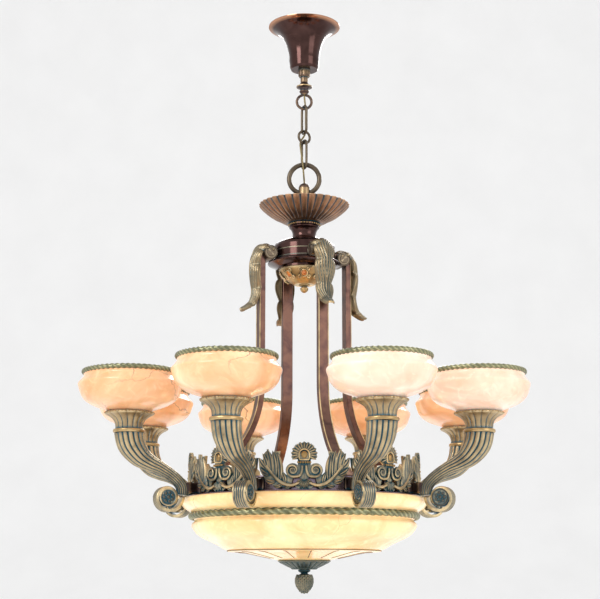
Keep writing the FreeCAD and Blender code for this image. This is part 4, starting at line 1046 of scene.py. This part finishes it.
def cartouche_form():
    """The scrolled frame of a round jewel, drawn facing -Y."""
    turns = [2 * pi * n / 24 for n in range(24)]
    form = tube([(7.6 * cos(turn), -1.6, 9.0 * sin(turn)) for turn in turns], 1.5, 8, True)
    for side in (-1, 1):
        lower = spiral((side * 9.5, -9.5), 5.0, 1.2, 1.3, radians(90), -side, 24)
        form.join(tube([(x, -1.2, z) for x, _, z in lower], lambda share: 1.5 - 0.6 * share, 7))
        upper = spiral((side * 9.0, 10.0), 4.4, 1.2, 1.2, radians(-90), side, 24)
        form.join(tube([(x, -1.2, z) for x, _, z in upper], lambda share: 1.4 - 0.6 * share, 7))
    return form


def on_hub_cup(form):
    """Lay a flat form on the leaning side of the hub's cup, facing +X."""
    lean = radians(36.0)
    middle_z = (hub_cup_low.z + hub_cup_high.z) / 2 + 2.0

    def place(p):
        outward = 50.2 - p.y * cos(lean) + p.z * sin(lean)
        rise = middle_z + p.z * cos(lean) + p.y * sin(lean)
        return Vector((outward, p.x, rise))

    return form.mapped(place)


def jewel_form():
    return ball(6.4, (0, -1.0, 0), (1, 0.45, 1.18), 10, 20)


def amber():
    look = Look("amber_look")
    cloud = look.noise(160.0, 3.0)
    look.colour(look.ramp(cloud, (0.3, (0.42, 0.10, 0.015)), (0.75, (0.85, 0.32, 0.05))))
    look.set(Roughness=0.12, Coat_Weight=0.8)
    return look.material


piece("crown_dish_lobed", dish_form(), "fixture", dish_bronze, ["crown_dish"], None, 60)
neck_high = span("crown_neck")[1]
piece("neck_beads", beads_round(36, 37.0, neck_high.z - 3.6, 2.3), "fixture", gilt)
piece("drum_lines", drum_lines_form(), "fixture", verdigris)
repeated("cartouche", on_hub_cup(cartouche_form()), PALMETTE_AZIMUTHS, gilt, (), 60)
repeated("hub_jewel", on_hub_cup(jewel_form()), PALMETTE_AZIMUTHS, amber())


# ---- bowl and finial ----
BOWL_UPPER = (
    (269.8, 0), (276.5, 1.2), (281.2, 4.6), (282.8, 9.5), (281.0, 15.0), (274.5, 22.5), (264.5, 29.5),
    (256.5, 34.0), (254.6, 38.0), (254.0, 46.0), (250.0, 50.2), (251.5, 54.0), (255.6, 57.6),
    (257.4, 62.0), (256.6, 66.2), (252.0, 74.0), (243.7, 83.0), (231.0, 91.0), (215.7, 98.0),
    (196.0, 107.6), (184.0, 114.8), (176.8, 117.6),
)
BOWL_LOWER = (
    (174.0, 120.6), (158.0, 121.4), (140.8, 122.6), (120.0, 126.5), (100.3, 131.0), (78.0, 135.6),
)
BOWL_INNER = (
    (260.8, 0), (266.0, 10), (252, 33), (241, 50), (246.5, 63), (233.7, 78), (207.7, 89), (172, 109),
    (100.3, 122),
)
BOWL_ROD_R = 5.6
PANELS = 16


def under_rim(rows):
    """Rows of (radius, depth under the bowl's rim) as rows of (radius, height)."""
    return [(r, BOWL_RIM - down) for r, down in rows]


def bowl_form():
    floor = BOWL_FOOT + 9
    inner = eased(under_rim(BOWL_INNER) + [(41, floor)], 3)
    outer = eased(under_rim(BOWL_UPPER), 3) + eased(under_rim(BOWL_LOWER) + [(57.0, BOWL_FOOT)], 3)
    outline = [(BOWL_ROD_R, floor)] + list(reversed(inner)) + outer + [(BOWL_ROD_R, BOWL_FOOT)]
    return lathe(outline, 192)


def seams_form():
    """Fine joints between the bowl's lower panels, and the line round them."""
    lower = under_rim(BOWL_LOWER[1:])
    form = Form()
    for n in range(PANELS):
        turn = radians(360.0 / PANELS * n + 6.0)
        path = [((r + 0.1) * cos(turn), (r + 0.1) * sin(turn), z - 0.15) for r, z in lower]
        form.join(tube(path, 0.75, 6))
    return form.join(tube(circle(175.6, BOWL_RIM - 119.3, 160), 1.0, 6, True))


BOWL_ROPE_STEPS = 84 * 6
BOWL_ROPE_ROUNDS = 28


def bowl_rope_form():
    path = circle(257.0, BOWL_RIM - 41.6, BOWL_ROPE_STEPS)
    return tube(path, 8.2, 14, True, ROPE_STRANDS, BOWL_ROPE_ROUNDS)


CAP_LOBES = 24


def cap_form():
    """Gadrooned dish under the bowl."""
    top = cap_high.z
    foot = cap_low.z
    outline = eased([
        (28, foot), (29.5, foot + 1.2), (32, foot + 3.0), (40, foot + 6.5), (48, foot + 10.5),
        (56, foot + 14.5), (59, foot + 17.0),
    ], 4)
    rim = [(60.4, top - 2.4), (61.0, top - 1.4), (60.2, top - 0.3), (58.5, top)]
    rows = [(BOWL_ROD_R, foot)] + outline + rim + [(BOWL_ROD_R, top)]
    lobed = len(outline)

    def lobes(angle, row):
        place = row * (len(rows) - 1)
        if place < 1 or place > lobed:
            return 1.0
        depth = 0.075 * min(1.0, (lobed + 1 - place) / 3)
        return 1.0 - depth * (1 - abs(sin(CAP_LOBES / 2 * angle)) ** 0.55)

    return lathe(rows, 10 * CAP_LOBES, lobes)


def pine_core_form():
    outline = [
        (5.4, 0), (12.6, 0), (14.2, 2.4), (12.6, 4.8), (8.6, 7), (8.4, 9), (15.0, 12.5), (18.6, 19),
        (18.8, 27), (16.2, 37), (11.0, 46), (5.6, 51),
    ]
    rows = [(r, pine_high.z - down) for r, down in outline]
    return lathe(eased(rows + [(1.5, pine_low.z + 0.5), (0.01, pine_low.z)], 3), 48)


def pine_scales_form():
    """Overlapping scales in rows, each row set half a scale on from the one above."""
    form = Form()
    rows = 11
    for row in range(rows):
        share = row / (rows - 1)
        z = pine_high.z - 13.5 - 35.0 * share
        reach = 19.3 * sin(pi * (0.30 + 0.62 * share)) ** 0.75
        count = 14 if share < 0.75 else 9
        lean = -0.55 + 1.1 * share
        width = 2 * pi * reach / count * 0.56
        scale = petal((0, 0, 2.6), (0, 0, -4.4), width, 2.6, 0, 0.0, 6, 7)
        for n in range(count):
            turn = 2 * pi * (n + 0.5 * (row % 2)) / count
            c, s = cos(turn), sin(turn)

            def place(p, c=c, s=s, reach=reach, z=z, lean=lean):
                out = reach - p.y + 0.15 * p.z * lean
                return Vector((out * c - p.x * s, out * s + p.x * c, z + p.z))

            form.join(scale.mapped(place))
    return form


piece("bowl_shell", bowl_form(), "bowl_set", bowl_stone, ["alabaster_bowl"], None, 30)
piece("bowl_seams", seams_form(), "bowl_set", seam_look)
piece("bowl_rope_twist", bowl_rope_form(), "bowl_set", rope_look, ["bowl_rope"], None, 60)
piece("cap_gadroons", cap_form(), "bowl_set", verdigris, ["finial_cap"], None, 50)
piece("pine_core", pine_core_form(), "finial", verdigris, ["pine_finial"])
piece("pine_scales", pine_scales_form(), "finial", verdigris, ["pine_finial"], None, 60)

# ---- supply cord ----
# The route's corners are chosen so that the cord clears every link and wire.
CHAIN_TURN = radians(62.0)
LEVEL = Vector((cos(CHAIN_TURN), -sin(CHAIN_TURN), 0))
SQUARE = Vector((sin(CHAIN_TURN), cos(CHAIN_TURN), 0))


def beside_chain(across, along, z):
    return SQUARE * across + LEVEL * along + Vector((0, 0, z))


CORD_CORNERS = (
    Vector((0, 0, -2.0)),
    Vector((0, 0, -179.1)),
    beside_chain(7.6, -7.0, -205.2),
    beside_chain(7.8, -7.2, -238.4),
    beside_chain(8.4, -7.6, -271.2),
    beside_chain(-8.4, -7.6, -292.6),
    beside_chain(-7.8, 0.0, -325.4),
    Vector((-3.6, -9.4, -350.2)),
    Vector((-1.6, -4.0, -374.2)),
    Vector((0, 9.6, -388.2)),
    Vector((0, 9.6, -506.6)),
)


def cord_line(step=2.5):
    """Points along the cord: straight runs joined by tangent arcs."""
    line = [CORD_CORNERS[0]]
    for before, corner, after in zip(CORD_CORNERS, CORD_CORNERS[1:], CORD_CORNERS[2:]):
        into = (corner - before).normalized()
        out = (after - corner).normalized()
        trim = 0.45 * min((corner - before).length, (after - corner).length)
        turn = into.angle(out)
        radius = trim / tan(turn / 2)
        centre = corner + (out - into).normalized() * (radius / cos(turn / 2))
        start = corner - into * trim - centre
        axle = into.cross(out).normalized()
        for n in range(9):
            line.append(centre + Matrix.Rotation(turn * n / 8, 3, axle) @ start)
    line.append(CORD_CORNERS[-1])
    even = [line[0]]
    for a, b in zip(line, line[1:]):
        count = max(1, round((b - a).length / step))
        even.extend(a + (b - a) * (n / count) for n in range(1, count + 1))
    return even


NEAR = 0.01


def cord_pieces():
    """The cord in five lengths, each of which spans one of the chain's joints."""
    line = cord_line()
    parts = (
        ("cord_1", -2.0, -240.0, "ceiling_fitting", "upper_link", -185.0, -225.0),
        ("cord_2", -240.0, -282.0, "upper_link", "ring_link", -262.0, -284.0),
        ("cord_3", -282.0, -325.0, "ring_link", "lower_link", -288.0, -306.0),
        ("cord_4", -325.0, -376.0, "lower_link", "top_ring", -350.0, -374.0),
        ("cord_5", -376.0, -507.0, "top_ring", "fixture", -388.0, -440.0),
    )
    for name, top, foot, upper, lower, start, end in parts:
        inside = [n for n, p in enumerate(line) if foot - NEAR <= p.z <= top + NEAR]
        run = line[max(0, inside[0] - 1):inside[-1] + 2]
        made = placed(name, mesh_of(name, tube(run, CORD_R, 12), cord_look))
        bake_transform(made)
        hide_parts("supply_cord")


cord_pieces()

# ---- finish of the pieces that keep their drawn shape ----
KEPT = (
    (("crossbar", "nipple", "nipple_nut"), steel, "plated_steel"),
    (("canopy", "hub_flange"), polished, "polished_bronze"),
    (("canopy_nut", "canopy_loop", "hanger_stem"), antique, "antique_bronze"),
    (("upper_chain_link", "chain_ring", "lower_chain_link", "hanging_ring"), chain_look, "antique_bronze"),
    (("hub_drum", "crown_neck"), polished, "polished_bronze"),
    (("hub_cup", "hub_acorn"), gilt, "gilt_brass"),
    (("hub_rod", "bowl_rod", "lamp_spider", "strap_screws", "arm_screws"), steel, "plated_steel"),
    (("strap_1", "strap_2", "strap_3", "strap_4"), strap_bronze, "antique_bronze"),
    (("palmettes",), leaf_bronze, "verdigris_bronze"),
    (("gallery_ring",), gallery_look, "polished_bronze"),
    (("bowl_sockets", "cup_sockets"), porcelain, "socket_ceramic"),
    (("bowl_bulbs", "cup_bulbs"), bulb_look, "lamp_glass"),
)
for nodes, look, finish in KEPT:
    for node in nodes:
        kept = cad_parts[node]
        kept.data.materials.clear()
        kept.data.materials.append(look)
        kept.data.shade_smooth()

# ---- light, floor and camera ----
FLOOR_Z = -1.62


def paper():
    look = Look("paper_look")
    look.colour(look.ramp(look.noise(3.0, 3.0), (0.3, (0.90, 0.90, 0.90)), (0.7, (0.93, 0.93, 0.93))))
    look.set(Roughness=0.9)
    return look.material


def floor_and_wall():
    """A pale floor that turns up into a wall far behind the lamp, in metres."""
    width, front, back, height, bend = 14.0, -8.0, 7.0, 8.0, 2.0
    line = [(front, FLOOR_Z), (back - bend, FLOOR_Z)]
    for n in range(1, 11):
        turn = radians(9 * n)
        line.append((back - bend + bend * sin(turn), FLOOR_Z + bend * (1 - cos(turn))))
    line.append((back, FLOOR_Z + height))
    points = [Vector((side * width / 2, y, z)) / MM for y, z in line for side in (-1, 1)]
    faces = [(2 * n, 2 * n + 1, 2 * n + 3, 2 * n + 2) for n in range(len(line) - 1)]
    made = placed("backdrop", mesh_of("backdrop", Form().add(points, faces), paper()))


def soft_light(name, place, aim, size, power):
    data = bpy.data.lights.new(name, "AREA")
    data.shape = "RECTANGLE"
    data.size, data.size_y = size
    data.energy = power
    made = placed(name, data)
    made.location = place
    made.rotation_euler = (Vector(aim) - Vector(place)).to_track_quat("-Z", "Y").to_euler()


def studio():
    world = bpy.data.worlds.new("studio")
    world.use_nodes = True
    background = world.node_tree.nodes["Background"]
    background.inputs["Color"].default_value = (1, 1, 1, 1)
    background.inputs["Strength"].default_value = 0.9
    bpy.context.scene.world = world
    bpy.context.scene.view_settings.view_transform = "Standard"
    middle = (0, 0, -0.8)
    soft_light("key_light", (-2.2, -2.6, 0.9), middle, (1.6, 1.6), 55)
    soft_light("fill_light", (2.6, -2.2, -0.2), middle, (2.0, 2.0), 25)
    soft_light("rim_light", (0.6, 2.6, 0.8), middle, (2.0, 1.0), 45)


def camera():
    """The photograph's own view: low, close and tilted up."""
    data = bpy.data.cameras.new("camera")
    data.lens = 85.61
    data.sensor_width = 36.0
    data.shift_x = -0.0071
    made = placed("camera", data)
    made.location = (0, -3.2999, -1.3504)
    tilt = 11.4535
    made.rotation_euler = (radians(90 + tilt), 0, 0)
    bpy.context.scene.camera = made


floor_and_wall()
studio()
camera()
